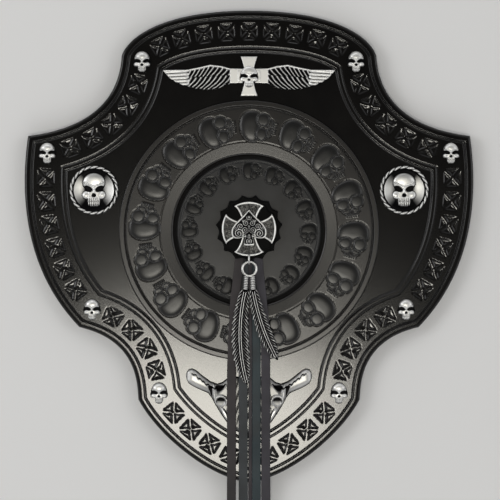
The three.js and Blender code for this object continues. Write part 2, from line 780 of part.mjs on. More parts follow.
// Strap routes: points chosen along the middle of each strap, from the washer over the foot to the floor
const strapRoutes = {
  a: [
    [-6.8, -9.5, 16.15], [-7.1, -24, 16.15], [-8.3, -34, 17.85], [-10.3, -50, 17.95], [-11.1, -64, 18.0],
    [-12.0, -86, 18.0], [-12.5, -98, 18.3], [-12.6, -120, 18.4], [-12.6, -145, 18.1], [-12.6, -162, 14.0],
    [-12.6, -181, 13.4], [-12.7, -195, 11.0], [-12.9, -209, 6.2], [-13.3, -223, 2.2], [-13.6, -236, 1.05],
    [-13.9, -248, 1.0],
  ],
  b: [
    [-3.7, -9.5, 14.55], [-3.7, -24, 14.55], [-3.8, -34, 16.2], [-4.0, -50, 16.3], [-4.1, -60, 16.6],
    [-4.1, -66, 17.95], [-4.2, -88, 18.0], [-4.2, -98, 18.3], [-4.2, -120, 18.4], [-4.2, -148, 18.2],
    [-4.2, -164, 14.2], [-4.2, -182, 13.4], [-4.2, -196, 11.0], [-4.3, -210, 6.2], [-4.5, -224, 2.2],
    [-4.8, -238, 1.05], [-5.1, -254, 1.0],
  ],
  c: [
    [1.0, -9.5, 14.55], [1.0, -24, 14.55], [1.0, -34, 16.2], [0.9, -50, 16.3], [0.9, -60, 16.6],
    [0.9, -66, 17.95], [0.9, -88, 18.0], [0.9, -98, 18.3], [0.9, -120, 18.4], [0.9, -148, 18.2],
    [0.9, -163, 14.0], [0.9, -181, 13.3], [0.9, -194, 10.6], [0.8, -207, 5.8], [0.6, -220, 2.0],
    [0.3, -231, 1.05], [0.1, -240, 1.0],
  ],
  d: [
    [5.4, -9.5, 14.55], [5.4, -24, 14.55], [5.4, -34, 16.2], [5.3, -50, 16.3], [5.3, -60, 16.6],
    [5.3, -66, 17.95], [5.3, -88, 18.0], [5.3, -98, 18.3], [5.3, -120, 18.4], [5.3, -148, 18.2],
    [5.3, -164, 14.2], [5.3, -182, 13.4], [5.4, -196, 11.0], [5.4, -210, 6.2], [5.4, -223, 2.2],
    [5.4, -237, 1.05], [5.3, -251, 1.0],
  ],
  e: [
    [6.4, -9.5, 16.15], [6.7, -24, 16.15], [7.8, -34, 17.85], [9.6, -50, 18.0], [10.5, -60, 18.3],
    [11.3, -66, 19.6], [11.7, -75, 18.3], [12.0, -88, 18.0], [12.0, -98, 18.3], [12.0, -120, 18.4],
    [12.0, -145, 18.1], [12.0, -162, 14.0], [12.1, -181, 13.4], [12.2, -195, 11.0], [12.4, -209, 6.2],
    [12.9, -225, 2.1], [13.4, -245, 1.0],
  ],
};
const strapWidths = { a: strapWidth, b: strapWidth, c: narrowStrapWidth, d: 5.6, e: strapWidth };

const shield = new THREE.Group();
shield.add(placed('shield_body', shieldBody(), bodyLeather));
shield.add(placed('skull_ring', skullRing(), ringLeather));
shield.add(placed('centre_disc', centreDisc(), discLeather));
shield.add(placed('rosette', rosette(), rosetteLeather, 0, 1.5));
shield.add(placed('cross_concho', crossConcho(), silver, 0, bossRise));
shield.add(placed('feather_long', feather(longForm), silver));
shield.add(placed('feather_short', feather(shortForm), silver));
Object.entries(strapRoutes).forEach(([letter, route]) => {
  shield.add(placed(`strap_${letter}`, strap(route, strapWidths[letter]), strapLeathers[letter]));
});
shield.add(placed('winged_cross', wingedCross(), silver));
shield.add(placed('steer_skull', steerSkull(), silver));
const concho = roundConcho();
const conchoPlace = v(conchoDistance * Math.cos(conchoBearing), conchoDistance * Math.sin(conchoBearing));
shield.add(placed('round_concho_left', concho, silver, -conchoPlace.x, conchoPlace.y));
shield.add(placed('round_concho_right', concho, silver, conchoPlace.x, conchoPlace.y));

const stud = geometryOf(castSkull(studWidth, studLength, studHeight, 8).translate([0, 0, castBase]));
const studNames = [
  'foot_right', 'flank_right', 'shoulder_right', 'neck_right',
  'neck_left', 'shoulder_left', 'flank_left', 'foot_left',
];
insetArcs(bandInset).forEach((arc, i) => {
  const corner = arc.at(-1);
  shield.add(placed(`stud_${studNames[i]}`, stud, silver, corner.x, corner.y));
});

export default shield;
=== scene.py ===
"""Leather shield: the carved leather, cast silver ornaments and straps that dress its solid model."""
import bpy
import numpy as np
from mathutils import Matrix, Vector


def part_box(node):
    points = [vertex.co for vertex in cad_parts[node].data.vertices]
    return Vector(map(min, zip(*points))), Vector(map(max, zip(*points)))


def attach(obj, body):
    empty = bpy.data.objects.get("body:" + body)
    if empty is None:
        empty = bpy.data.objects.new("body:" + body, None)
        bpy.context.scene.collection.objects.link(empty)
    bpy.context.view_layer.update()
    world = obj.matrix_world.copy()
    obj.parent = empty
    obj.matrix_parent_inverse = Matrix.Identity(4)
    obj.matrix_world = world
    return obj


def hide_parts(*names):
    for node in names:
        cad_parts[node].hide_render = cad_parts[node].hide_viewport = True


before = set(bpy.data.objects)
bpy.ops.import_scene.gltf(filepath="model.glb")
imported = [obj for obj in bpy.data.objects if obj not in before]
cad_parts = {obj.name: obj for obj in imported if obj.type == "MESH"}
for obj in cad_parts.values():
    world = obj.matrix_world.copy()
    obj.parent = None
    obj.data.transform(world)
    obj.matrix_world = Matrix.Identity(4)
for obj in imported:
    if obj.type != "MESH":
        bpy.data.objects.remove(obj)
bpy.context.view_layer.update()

bl_info = {
    "name": "Leather Shield",
    "version": (1, 0, 0),
    "blender": (4, 5, 0),
    "location": "3D View > Sidebar > Leather Shield",
    "description": "Builds a carved leather shield with cast ornaments, feathers and straps",
    "category": "Add Mesh",
}

MM = 0.001
STUD_NODES = sorted(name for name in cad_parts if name.startswith("stud_"))


def box_mm(node):
    """Lowest and highest corner of a solid, in millimetres."""
    low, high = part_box(node)
    return np.array(low) / MM, np.array(high) / MM


BODY_LOW, BODY_HIGH = box_mm("shield_body")
RING_LOW, RING_HIGH = box_mm("skull_ring")
DISC_LOW, DISC_HIGH = box_mm("centre_disc")
WASHER_HIGH = box_mm("rosette")[1]
RING_RADIUS = RING_HIGH[0]
RING_HOLE = 54.0
DISC_RADIUS = DISC_HIGH[0]
DISC_HOLE = 16.0
# Levels of the body's front, and of the undersides of the castings that lie on it
TOP = 12.0
CAST_BASE = 12.32
# Wear of plain leather and of bare wire, on a scale from 0, black, to 1, polished
PLAIN = 0.5
BRIGHT = 0.8


# Mesh making

def linear(code):
    """An sRGB hex colour as linear red, green, blue and alpha."""
    values = np.array([int(code[i:i + 2], 16) for i in (1, 3, 5)]) / 255.0
    low = values / 12.92
    high = ((values + 0.055) / 1.055) ** 2.4
    return tuple(np.where(values <= 0.04045, low, high)) + (1.0,)


def smooth(low, high, value):
    """Smooth step from 0 at low to 1 at high."""
    t = np.clip((value - low) / (high - low), 0.0, 1.0)
    return t * t * (3.0 - 2.0 * t)


def hump(value, width):
    """Bell curve of height 1 and the given half width."""
    return np.exp(-(value / width) ** 2)


def rounded(value):
    """Height of a rounded profile at the given power of the distance from its middle, 0 past its edge."""
    return np.sqrt(np.clip(1 - value, 0, 1))


def unit(vectors):
    """The same directions at length 1."""
    return vectors / np.linalg.norm(vectors, axis=-1, keepdims=True)


def bearings(count, start=0.0):
    """So many angles, evenly once round."""
    return np.linspace(start, start + 2 * np.pi, count, endpoint=False)


def shell(surface, poles=None):
    """Closed shell over rows of points that each go once round.

    The surface is rows by columns by 3. With poles, the first and last row close on a point each; without
    them the last row joins the first, as on a ring.
    """
    rows, columns = surface.shape[:2]
    index = np.arange(rows * columns).reshape(rows, columns)
    if poles is None:
        index = np.vstack([index, index[:1]])
    beside = np.roll(index, -1, axis=1)
    quads = np.stack([index[:-1], beside[:-1], beside[1:], index[1:]], axis=-1).reshape(-1, 4)
    points = surface.reshape(-1, 3)
    if poles is None:
        return points, [quads]
    last = len(points)
    points = np.vstack([points, poles])
    first_fan = np.stack([beside[0], index[0], np.full(columns, last)], axis=-1)
    last_fan = np.stack([index[-1], beside[-1], np.full(columns, last + 1)], axis=-1)
    return points, [quads, first_fan, last_fan]


def slab(surface, shade, base):
    """Closed shell between a grid of surface points and its shadow at the height base, and its tone.

    Each row runs out over the surface and straight back underneath, and the rows at both ends lie flat. The
    underside is black.
    """
    flat = surface.copy()
    flat[..., 2] = base
    under = flat[:, [-1, 0]]
    ends = [np.concatenate([flat[i], under[i]])[None] for i in (0, -1)]
    middle = np.concatenate([surface, under], axis=1)
    rows = np.concatenate([ends[0], middle, ends[1]])
    poles = np.stack([flat[0].mean(axis=0), flat[-1].mean(axis=0)])
    return shell(rows, poles), np.pad(shade, ((1, 1), (0, 2)))


def standing(top, shade, base, centre):
    """Closed shell of a relief over its flat base, moved to its centre, and its tone.

    The relief's rows go once round each, the first about the middle and the last along the outline.
    """
    low = top[-1:].copy()
    low[..., 2] = base
    surface = np.concatenate([low, top[::-1]]) + [centre[0], centre[1], 0]
    poles = np.array([[centre[0], centre[1], level] for level in (base, top[0, 0, 2])])
    return shell(surface, poles), np.pad(shade[::-1], ((1, 0), (0, 0)))


def between(station, lower, upper, count):
    """Grid of points: at each station a row of so many, evenly from the lower to the upper edge."""
    x = np.repeat(station[:, None], count, axis=1)
    return x, lower[:, None] + (upper - lower)[:, None] * np.linspace(0, 1, count)


def outward(points, faces):
    """Turns every face round if the shell's signed volume is negative."""
    volume = 0.0
    for block in faces:
        a, b, c = points[block[:, 0]], points[block[:, 1]], points[block[:, 2]]
        volume += np.einsum("ij,ij->i", a, np.cross(b, c)).sum()
        if block.shape[1] == 4:
            d = points[block[:, 3]]
            volume += np.einsum("ij,ij->i", a, np.cross(c, d)).sum()
    return faces if volume > 0 else [block[:, ::-1] for block in faces]


def add(name, data, location=(0.0, 0.0, 0.0)):
    """New object in the scene."""
    item = bpy.data.objects.new(name, data)
    item.location = location
    bpy.context.scene.collection.objects.link(item)
    return item


def piece(name, parts, material):
    """One mesh object from closed shells in millimetres, each paired with the tone of its points.

    The tone is kept as an attribute for the materials: on the silver it runs from black patina to polish, on
    the conchos and the steer skull with painted shade and painted highlights, and on the tooled leather it
    marks the skulls. Points past the end of its list take the last value.
    """
    points, loops, sizes, wear_and_painted_light, start = [], [], [], [], 0
    for (vertices, faces), shade in parts:
        tone = np.ravel(shade)
        wear_and_painted_light.append(np.pad(tone, (0, len(vertices) - len(tone)), mode="edge"))
        for block in outward(vertices, faces):
            loops.append((block + start).ravel())
            sizes.append(np.full(len(block), block.shape[1]))
        points.append(vertices)
        start += len(vertices)
    points, loops, sizes = np.concatenate(points), np.concatenate(loops), np.concatenate(sizes)
    mesh = bpy.data.meshes.new(name)
    mesh.vertices.add(len(points))
    mesh.vertices.foreach_set("co", (points * MM).astype(np.float32).ravel())
    mesh.loops.add(len(loops))
    mesh.loops.foreach_set("vertex_index", loops.astype(np.int32))
    mesh.polygons.add(len(sizes))
    starts = np.concatenate([[0], np.cumsum(sizes)[:-1]])
    mesh.polygons.foreach_set("loop_start", starts.astype(np.int32))
    mesh.update(calc_edges=True)
    mesh.validate()
    mesh.polygons.foreach_set("use_smooth", np.ones(len(mesh.polygons), dtype=bool))
    layer = mesh.attributes.new("wear_and_painted_light", "FLOAT", "POINT")
    layer.data.foreach_set("value", np.concatenate(wear_and_painted_light).astype(np.float32))
    mesh.materials.append(material)
    item = add(name, mesh)
    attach(item, "root")
    return item


def tube(path, radius, sides=12, closed=False):
    """Round wire along a path: circles square to the path, all of one radius or each of its own."""
    step = np.roll(path, -1, axis=0) - np.roll(path, 1, axis=0) if closed else np.gradient(path, axis=0)
    ahead = unit(step)
    up = np.where(np.abs(ahead[:, 2:3]) > 0.9, [[1.0, 0.0, 0.0]], [[0.0, 0.0, 1.0]])
    side = unit(np.cross(ahead, up))
    over = np.cross(side, ahead)
    turn = bearings(sides)
    radius = np.broadcast_to(radius, len(path))[:, None, None]
    rings = path[:, None] + radius * (np.cos(turn)[None, :, None] * side[:, None]
                                      + np.sin(turn)[None, :, None] * over[:, None])
    return shell(rings) if closed else shell(rings, path[[0, -1]])


# Outline of the body and its insets in millimetres, the corners of its right half measured from the box

CORNERS = {
    "toe": (0.0, BODY_LOW[1]), "foot": (79.9, BODY_LOW[1] + 59.8), "flank": (RING_RADIUS + 28.8, -69.8),
    "shoulder": (RING_RADIUS + 65.9, 68.4), "neck": (92.0, BODY_HIGH[1] - 32.8),
    "crown": (0.0, BODY_HIGH[1]),
}
STRETCHES = [
    ("toe", (0.259, -0.151), "foot", (-0.251, -0.121)),
    ("foot", (0.137, 0.093), "flank", (-0.509, 0.396)),
    ("flank", (0.327, -0.183), "shoulder", (-0.313, -0.135)),
    ("shoulder", (0.53, 0.35), "neck", (-0.166, 0.171)),
    ("neck", (0.073, -0.104), "crown", (-0.627, -0.223)),
]
# Distances in from the outline to the middle of the crosses, the bead and the plain field are insets. The
# steps are the offsets from a cross's middle at which the body has a row or a column of points.
BAND_INSET = 15.5
CROSS_SIDE = 12.7
CROSS_PITCH = 16.8
EDGE_STEPS = CROSS_SIDE / 2 + np.array([-0.85, -0.5, 0.0, 0.35])
CROSS_STEPS = np.concatenate([-EDGE_STEPS[::-1], np.linspace(-5.0, 5.0, 17), EDGE_STEPS])
BEAD_INSET = 28.4
FIELD_INSET = 31.6


def bezier(stretch, count=400):
    """Cubic curve between two corners, its handles being shares of the chord along it and to its left."""
    start, first, end, second = stretch
    p, q = np.array(CORNERS[start]), np.array(CORNERS[end])
    chord = q - p
    left = np.array([-chord[1], chord[0]])
    a = p + chord * first[0] + left * first[1]
    b = q + chord * second[0] + left * second[1]
    t = np.linspace(0, 1, count)[:, None]
    return (1 - t) ** 3 * p + 3 * (1 - t) ** 2 * t * a + 3 * (1 - t) * t * t * b + t ** 3 * q


def outline_arcs():
    """The eight stretches of the border, counter-clockwise from the foot's left corner."""
    foot, low, side, shoulder, top = [bezier(stretch) for stretch in STRETCHES]
    mirror = [(curve * [-1, 1])[::-1] for curve in (foot, low, side, shoulder, top)]
    whole_foot = np.vstack([mirror[0], foot[1:]])
    whole_top = np.vstack([top, mirror[4][1:]])
    return [whole_foot, low, side, shoulder, whole_top, mirror[3], mirror[2], mirror[1]]


def normals(curve):
    """Unit normals of a curve, to its left, which is into the body."""
    step = unit(np.gradient(curve, axis=0))
    return np.stack([-step[:, 1], step[:, 0]], axis=1)


def lengths(curve):
    """Length along a curve up to each of its points."""
    return np.concatenate([[0], np.cumsum(np.linalg.norm(np.diff(curve, axis=0), axis=1))])


def trim(first, second):
    """Indices at which the end of one curve meets the start of the next: the nearest pair of points."""
    tail = 220
    gaps = np.linalg.norm(first[-tail:, None] - second[None, :tail], axis=2)
    i, j = np.unravel_index(np.argmin(gaps), gaps.shape)
    return len(first) - tail + i, j


def clear_run(curves, k):
    """First and last index of a stretch between the points where it meets its neighbours."""
    return trim(curves[k - 1], curves[k])[1], trim(curves[k], curves[(k + 1) % len(curves)])[0]


def inset_arcs(inset):
    """The stretches of the border, each moved inward along its normals."""
    return [arc + inset * normals(arc) for arc in outline_arcs()]


def column_shares(pitches):
    """Places of the columns along a stretch: close together over every cross, wide apart between crosses."""
    one = np.concatenate([[-CROSS_PITCH / 2, -CROSS_SIDE / 2 - 1.1], CROSS_STEPS]) / CROSS_PITCH
    return (np.arange(pitches)[:, None] + 0.5 + one[None]).ravel() / pitches


def border_columns(inset, pitches):
    """Points of every stretch at one inset, and how far each lies along the band of crosses.

    Each stretch is moved inward along its normals, cut where it meets its neighbours, and divided into as
    many columns at every inset, so that the columns at a corner run along its mitre.
    """
    moved, band = inset_arcs(inset), inset_arcs(BAND_INSET)
    places, along = [], []
    for k, curve in enumerate(moved):
        start, end = clear_run(moved, k)
        band_start, band_end = clear_run(band, k)
        run = lengths(band[k])
        share = (run - run[band_start]) / (run[band_end] - run[band_start])
        own = lengths(curve)
        wanted = own[start] + (own[end] - own[start]) * column_shares(pitches[k])
        rank = np.arange(len(curve))
        column = np.interp(wanted, own, rank)
        places.append(np.stack([np.interp(column, rank, curve[:, axis]) for axis in (0, 1)], axis=1))
        along.append(np.interp(column, rank, share))
    return places, along


def band_counts():
    """Whole number of cross pitches in each stretch of the band."""
    band = inset_arcs(BAND_INSET)
    runs = [lengths(curve)[list(clear_run(band, k))] for k, curve in enumerate(band)]
    return [int(round((end - start) / CROSS_PITCH)) for start, end in runs]


def cross_relief(along, across):
    """Depth of one cross: four level arms, shallower at their ends, between leaves along the diagonals."""
    side = CROSS_SIDE / 2
    near = np.maximum(np.abs(along), np.abs(across))
    far = np.minimum(np.abs(along), np.abs(across))
    share = np.clip(near / side, 0, 1)
    leaf = 0.25 + 1.1 * np.sin(np.pi * share) ** 0.9 + 0.8 * share ** 2
    wall = smooth(0.0, 0.7, near - far - leaf)
    rim = smooth(0.0, 0.5, side - near)
    return -(0.45 - 0.15 * smooth(0.7, 0.95, share)) * wall * rim


def edge_height(inset):
    """Rolled edge, a groove, the flat band, and a bead between two fine grooves."""
    roll = np.interp(inset, [0, 0.35, 0.9, 1.7, 2.5, 3.2, 4.5, 4.9, 5.4, 5.9, 6.3],
                     [7.5, 11.0, 11.65, 11.88, 11.94, 11.95, 11.95, 11.2, 10.8, 11.4, 12.0])
    bead = inset - BEAD_INSET
    crest = 0.25 * (1 - smooth(1.0, 1.5, np.abs(bead)))
    grooves = -0.3 * hump(bead + 1.8, 0.3) - 0.6 * hump(bead - 1.9, 0.34)
    return np.where(inset < 7, roll, TOP + crest + grooves)


def shield_surface():
    """Rows of the body from the middle of the back, round the rolled edge, to the middle of the front."""
    pitches = band_counts()
    insets = np.unique(np.round(np.concatenate([
        [0, 0.35, 0.9, 1.7, 3.2, 4.2, 4.5, 4.9, 5.4, 5.9, 6.3, 6.7], BAND_INSET + CROSS_STEPS, [23.2, 25.6],
        np.arange(25.9, 31.2, 0.4), [FIELD_INSET],
    ]), 3))
    rows = []
    for inset in insets:
        places, along = border_columns(inset, pitches)
        height = []
        for n, share in zip(pitches, along):
            station = share * n
            offset = (station - np.round(station)) * CROSS_PITCH
            inside = (np.round(station) > 0.5) & (np.round(station) < n - 0.5)
            height.append(edge_height(np.full(len(share), inset))
                          + np.where(inside, cross_relief(offset, inset - BAND_INSET), 0.0))
        rows.append(np.column_stack([np.concatenate(places), np.concatenate(height)]))
    rows = np.array(rows)
    inner = rows[-1]
    hidden = RING_RADIUS - 8
    reach = np.linalg.norm(inner[:, :2], axis=1, keepdims=True)
    rim = np.column_stack([inner[:, :2] * hidden / reach, np.full(len(inner), TOP)])
    share = np.array([0.04, 0.3, 1.0])[:, None, None]
    field = inner * (1 - share) + rim * share
    gap = [rim * [r / hidden, r / hidden, 1] - [0, 0, d]
           for r, d in ((DISC_RADIUS + 3.4, 0.0), (DISC_RADIUS + 1.1, 1.6), (DISC_RADIUS - 1.2, 0.0))]
    field = np.concatenate([field, gap])
    outer, under, inside = [np.concatenate(border_columns(inset, pitches)[0]) for inset in (0.0, 0.8, 2.0)]
    wall = [np.column_stack([plan, np.zeros(len(plan))]) for plan in (inside * 0.5, inside, under)]
    wall += [np.column_stack([outer, np.full(len(outer), z)]) for z in (0.8, 3.0, 5.4)]
    return np.concatenate([np.array(wall), rows, field])


# Tooled leather skulls, round ring and disc

def tooled_skull(along, outward_by):
    """Relief of one tooled skull, crown first: x runs along the ring and y away from its middle.

    A wide dome for the cranium with two oval eyes set into its back, each inside a fine groove, then a low
    nose and a row of small teeth drawn with grooves.
    """
    x, y = along, np.abs(outward_by)
    crown = (np.abs(x - 3.4 - 0.9 * (1 - (y / 9.0) ** 2)) / 7.1) ** 2.4 + (y / 10.7) ** 2.5
    dome = 0.95 * np.clip(1 - crown ** 1.3, 0, 1) ** 0.75
    eye = np.sqrt(((x + 4.4) / 4.1) ** 2 + ((y - 5.2) / 4.5) ** 2)
    plate = 0.5 + 0.3 * rounded(eye ** 2)
    bridge = np.hypot((x + 5.6) / 3.8, y / 1.3)
    cheek = np.hypot((x + 9.6) / 2.1, (y - 3.4) / 3.0)
    height = dome * smooth(1.0, 1.2, eye) * smooth(1.0, 1.3, bridge + (x > -4) * 2)
    height = np.where(eye < 1.0, plate, height)
    jaw = smooth(-14.6, -14.2, x) * (1 - smooth(-11.9, -11.5, x)) * (1 - smooth(4.0, 4.4, y))
    height = np.maximum(height, 0.4 * jaw + 0.4 * (1 - smooth(0.8, 1.0, cheek)) * (eye > 1))
    gaps = hump(np.mod(y + 0.55, 1.5) - 0.75, 0.22) * jaw
    lines = np.max([
        gaps, hump(eye - 1.06, 0.06), hump(bridge - 1.0, 0.1) * (x < -2),
        hump(cheek - 1.05, 0.1) * (eye > 1.1), hump(np.sqrt(crown) - 1.06, 0.035) * (eye > 1.15),
    ], axis=0)
    return height - 0.5 * lines


def round_leather(inner, outer, low, profile, skull_radius, scale, turn, count, columns, radii):
    """Ring of leather: a turned profile with a row of skulls round it, closed by its walls and flat back."""
    angle = bearings(columns)
    radius, bearing = np.meshgrid(radii, angle, indexing="ij")
    pitch = 2 * np.pi / count
    local = np.mod(bearing - turn + pitch * 0.55, pitch) - pitch * 0.55
    relief = 0.82 * scale * tooled_skull(local * skull_radius / scale, (radius - skull_radius) / scale)
    band = smooth(skull_radius - 12.4 * scale, skull_radius - 11.4 * scale, radius)
    band *= 1 - smooth(skull_radius + 12.4 * scale, skull_radius + 13.4 * scale, radius)
    height = profile(radius) + relief * band
    top = np.stack([radius * np.cos(bearing), radius * np.sin(bearing), height], axis=-1)
    shade = smooth(0.05 * scale, 0.3 * scale, np.abs(relief) * band)
    circle = np.stack([np.cos(angle), np.sin(angle)], axis=1)
    under = [np.column_stack([circle * r, np.full(columns, low)]) for r in (outer, inner)]
    surface = np.concatenate([top, np.array(under)])
    shade = np.concatenate([shade, np.zeros((2, columns))])
    return shell(surface), shade


def ring_profile(radius):
    """Height of the skull ring: a gentle slope up from the gap, a fine groove, and the flat rim bead."""
    top = RING_HIGH[2] - 1.5
    rim = RING_RADIUS - 2.3
    slope = top - np.interp(radius - RING_HOLE,
                            [0, 0.3, 0.7, 9.4, 10.0, 10.6], [2.2, 0.9, 0.5, 0.05, 0.2, 0])
    bead = 1.4 * smooth(-2.1, -1.4, radius - rim)
    groove = -0.7 * hump(radius - (rim - 2.4), 0.35)
    return slope + bead + groove - 1.6 * smooth(RING_RADIUS - 0.5, RING_RADIUS, radius)


def disc_profile(radius):
    """Height of the centre disc: flat, with a rounded rim and a fine line inside it."""
    top = DISC_HIGH[2] - 1.6
    return top - 0.7 * smooth(DISC_RADIUS - 1.0, DISC_RADIUS, radius) - 0.3 * hump(radius - 49.8, 0.35)


def rosette_shell():
    """Leather washer with a scalloped edge, a fine line inside the edge and a hub under it."""
    scallops = 15
    columns = 16 * scallops
    angle = bearings(columns)
    rim = WASHER_HIGH[0] - 2.4 + 2.3 * (1 - np.abs(np.sin((angle - np.radians(6)) * scallops / 2)))
    middle, high, neck, foot, hub = 1.5, WASHER_HIGH[2], 17.1, 13.95, 7.4
    share = np.array([0.3, 0.5, 0.7, 0.8, 0.86, 0.9, 0.93, 0.96, 0.985, 1.0, 1.0, 0.985])
    depth = np.array([0, 0, 0, 0, 0.05, 0.45, 0.05, 0.05, 0.2, 0.6, 1.6, 2.0])
    radius = np.concatenate([share[:, None] * rim, np.full((2, columns), hub)])
    level = np.repeat(np.append(high - depth, [neck, foot])[:, None], columns, axis=1)
    surface = np.stack([radius * np.cos(angle), middle + radius * np.sin(angle), level], axis=-1)
    return shell(surface, np.array([[0, middle, high], [0, middle, foot]]))


# Cast silver faces

def cast_face(x, y):
    """Relief of a cast skull seen from the front, in millimetres for a skull 15.5 wide and 23.5 high.

    Cranium, cheeks and jaw are added as rounded masses; the sockets slant down to the nose under a V brow.
    """
    a = np.abs(x)
    cranium = 2.5 * rounded((a / 7.4) ** 2 + ((y - 5.2) / 6.9) ** 2)
    cheek = 1.9 * rounded(((a - 4.9) / 2.9) ** 2 + ((y + 3.2) / 3.0) ** 2)
    muzzle = 2.0 * rounded((a / 5.0) ** 4 + ((y + 4.0) / 7.2) ** 4)
    bridge = 2.4 * hump(a, 1.3) * smooth(-4.2, -1.5, y) * (1 - smooth(4, 7, y))
    brow = 2.9 * hump(y - 2.6 - 0.42 * a, 0.95) * (1 - smooth(5.6, 7.2, a))
    mass = np.max([cranium, cheek, muzzle, bridge, brow], axis=0)
    socket = 1 - smooth(0.7, 1.05, np.hypot((a - 3.7) / 2.9, (y + 0.2 - 0.3 * a) / 2.1))
    nose = 1 - smooth(0.5, 1.0, np.hypot(a / 1.5, (y + 3.3) / 1.5) - 0.25 * hump(y + 4.3, 0.8))
    lips = hump(y + 7.6, 0.4) * (1 - smooth(3.2, 3.8, a))
    gaps = hump(np.mod(a + 0.6, 1.3) - 0.65, 0.26) * smooth(-10.9, -10.3, y) * (1 - smooth(-5.6, -5.0, y))
    sides = hump(a - 4.1, 0.5) * (1 - smooth(-6.2, -5.2, y))
    cut = 2.6 * socket + 1.8 * nose + 1.1 * np.maximum(lips, gaps * (a < 3.4)) + 0.9 * sides
    return np.maximum(mass - cut * (mass > 0.4), 0.0), mass


def face_outline(angle):
    """Distance from the middle of a 15.5 by 23.5 mm skull to its outline, at each bearing."""
    x, y = np.cos(angle), np.sin(angle)
    upper = 1 / np.sqrt((x / 7.7) ** 2 + (y / 11.7) ** 2)
    lower = 1 / ((np.abs(x) / 8.1) ** 2.4 + (np.abs(y) / 11.7) ** 2.4) ** (1 / 2.4)
    waist = 1 - 0.36 * hump(np.abs(angle + np.pi / 2) - 0.62, 0.28)
    return np.where(y > 0, upper, lower * waist)


def concho_shell(centre):
    """Round concho: a rope of slanted links round a concave face, with a skull standing on it."""
    twists = 22
    angle = bearings(12 * twists)
    radii = np.concatenate([np.linspace(0.25, 13.8, 44), [14.2, 14.6, 15.0], np.linspace(15.3, 17.7, 9)])
    radius, bearing = np.meshgrid(radii, angle, indexing="ij")
    x, y = radius * np.cos(bearing), radius * np.sin(bearing)
    face, mass = cast_face(x / 1.12, y / 1.05)
    dish = 1.5 * (radius / 14.8) ** 2.4
    moat = 0.9 * hump(mass - 0.4, 0.2) * (radius < 14)
    link = np.abs(np.sin(twists * bearing / 2 + (radius - 16.5) * 0.9)) ** 0.6
    rope = rounded(((radius - 16.5) / 1.3) ** 2) * (0.7 + 1.6 * link)
    height = np.minimum(np.where(radius < 15, 13.7 + dish + face - moat, 13.6 + rope), 17.7)
    # Painted shade: the cranium of the skull darkens towards its top.
    shadow = 1 - 0.4 * smooth(5.0, 12.0, y)
    # Painted highlights: the dish is bright on its left and right sides and dark elsewhere; the moat round
    # the skull is darker still.
    dish_tone_with_painted_highlights = 0.1 + 0.8 * np.abs(np.cos(bearing)) ** 4 * smooth(5.0, 11.0, radius) - moat
    shade = np.where(mass > 0.4, smooth(0.2, 1.7, face) * shadow, dish_tone_with_painted_highlights)
    shade = np.where(radius < 14.4, np.clip(shade, 0, 1), smooth(0.6, 2.1, rope))
    return standing(np.stack([x, y, height], axis=-1), shade, CAST_BASE, centre)


def skull_shell(centre, half, base, wall, rise, relief, ceiling, columns=120, rows=30):
    """Standing cast skull of the given half size: a low wall, then the cast face with a rounded edge.

    The face rises a little all over, its relief is multiplied, and it stays under the ceiling.
    """
    angle = bearings(columns, -np.pi)
    share = np.concatenate([np.linspace(0.03, 0.9, rows), [0.94, 0.975, 1.0]])
    radius = share[:, None] * face_outline(angle)[None]
    x, y = radius * np.cos(angle), radius * np.sin(angle)
    face, _ = cast_face(x, y)
    edge = rounded(share ** 8)[:, None]
    height = np.minimum(base + wall + edge * (rise + face * relief), ceiling)
    top = np.stack([x * half[0] / 8.1, y * half[1] / 11.8, height], axis=-1)
    return standing(top, smooth(0.1, 1.7, face), base, centre)


# Winged cross, steer skull, boss and feathers

def wing_shell(side, centre):
    """One wing: a plain root band, a thick leading edge, two rows of ribs and long feathers at the tip."""
    station = np.linspace(4.5, 61.8, 190)
    upper = np.interp(station, [4.5, 13.5, 20, 28, 36, 44.7, 62], [5.6, 5.8, 7.6, 8.5, 6.6, 4.9, 4.7])
    lower = np.interp(station, [4.5, 13.5, 20, 28, 37, 49, 56, 60.5, 62],
                      [-5.0, -5.3, -8.8, -10.2, -9.5, -6.5, -2.9, 1.6, 3.9])
    lower += 0.55 * np.abs(np.sin((station - 13.5) * np.pi / 4.9)) * smooth(14, 17, station)
    x, y = between(station, lower, upper, 64)
    drop = upper[:, None] - y
    inside = smooth(13.3, 14.2, x)
    lead = 1.5 * rounded(((drop - 0.85) / 0.9) ** 2)
    width = (upper - lower)[:, None]
    first = smooth(1.4, 1.8, drop) * (1 - smooth(0.43, 0.46, drop / width))
    second = smooth(0.45, 0.48, drop / width)
    past = np.maximum(drop - 0.45 * width, 0)
    slant_first = hump(np.mod((x - 0.4 * drop - 0.04 * drop ** 2) / 3.3, 1.0) - 0.5, 0.17)
    slant_second = hump(np.mod((x - 0.45 * past - 0.06 * past ** 2) / 3.6, 1.0) - 0.5, 0.2)
    ribs = first * (0.1 + 1.2 * slant_first) + second * (0.1 + 1.25 * slant_second)
    tip = smooth(41, 46, x)
    long_feathers = np.abs(np.sin((drop / 2.35 - 0.02 * (x - 44)) * np.pi)) ** 0.6 * 1.15 + 0.1
    relief = np.where(inside > 0.5, np.maximum(lead, (1 - tip) * ribs + tip * long_feathers), 0.9)
    edge = np.minimum(drop, y - lower[:, None]) + 0.02
    relief = relief * smooth(-0.15, 0.5, edge) * smooth(0, 0.6, 62.2 - x)
    surface = np.stack([side * x, y, 12.95 + relief], axis=-1) + [centre[0], centre[1], 0]
    return slab(surface, smooth(0.2, 1.0, relief), CAST_BASE)


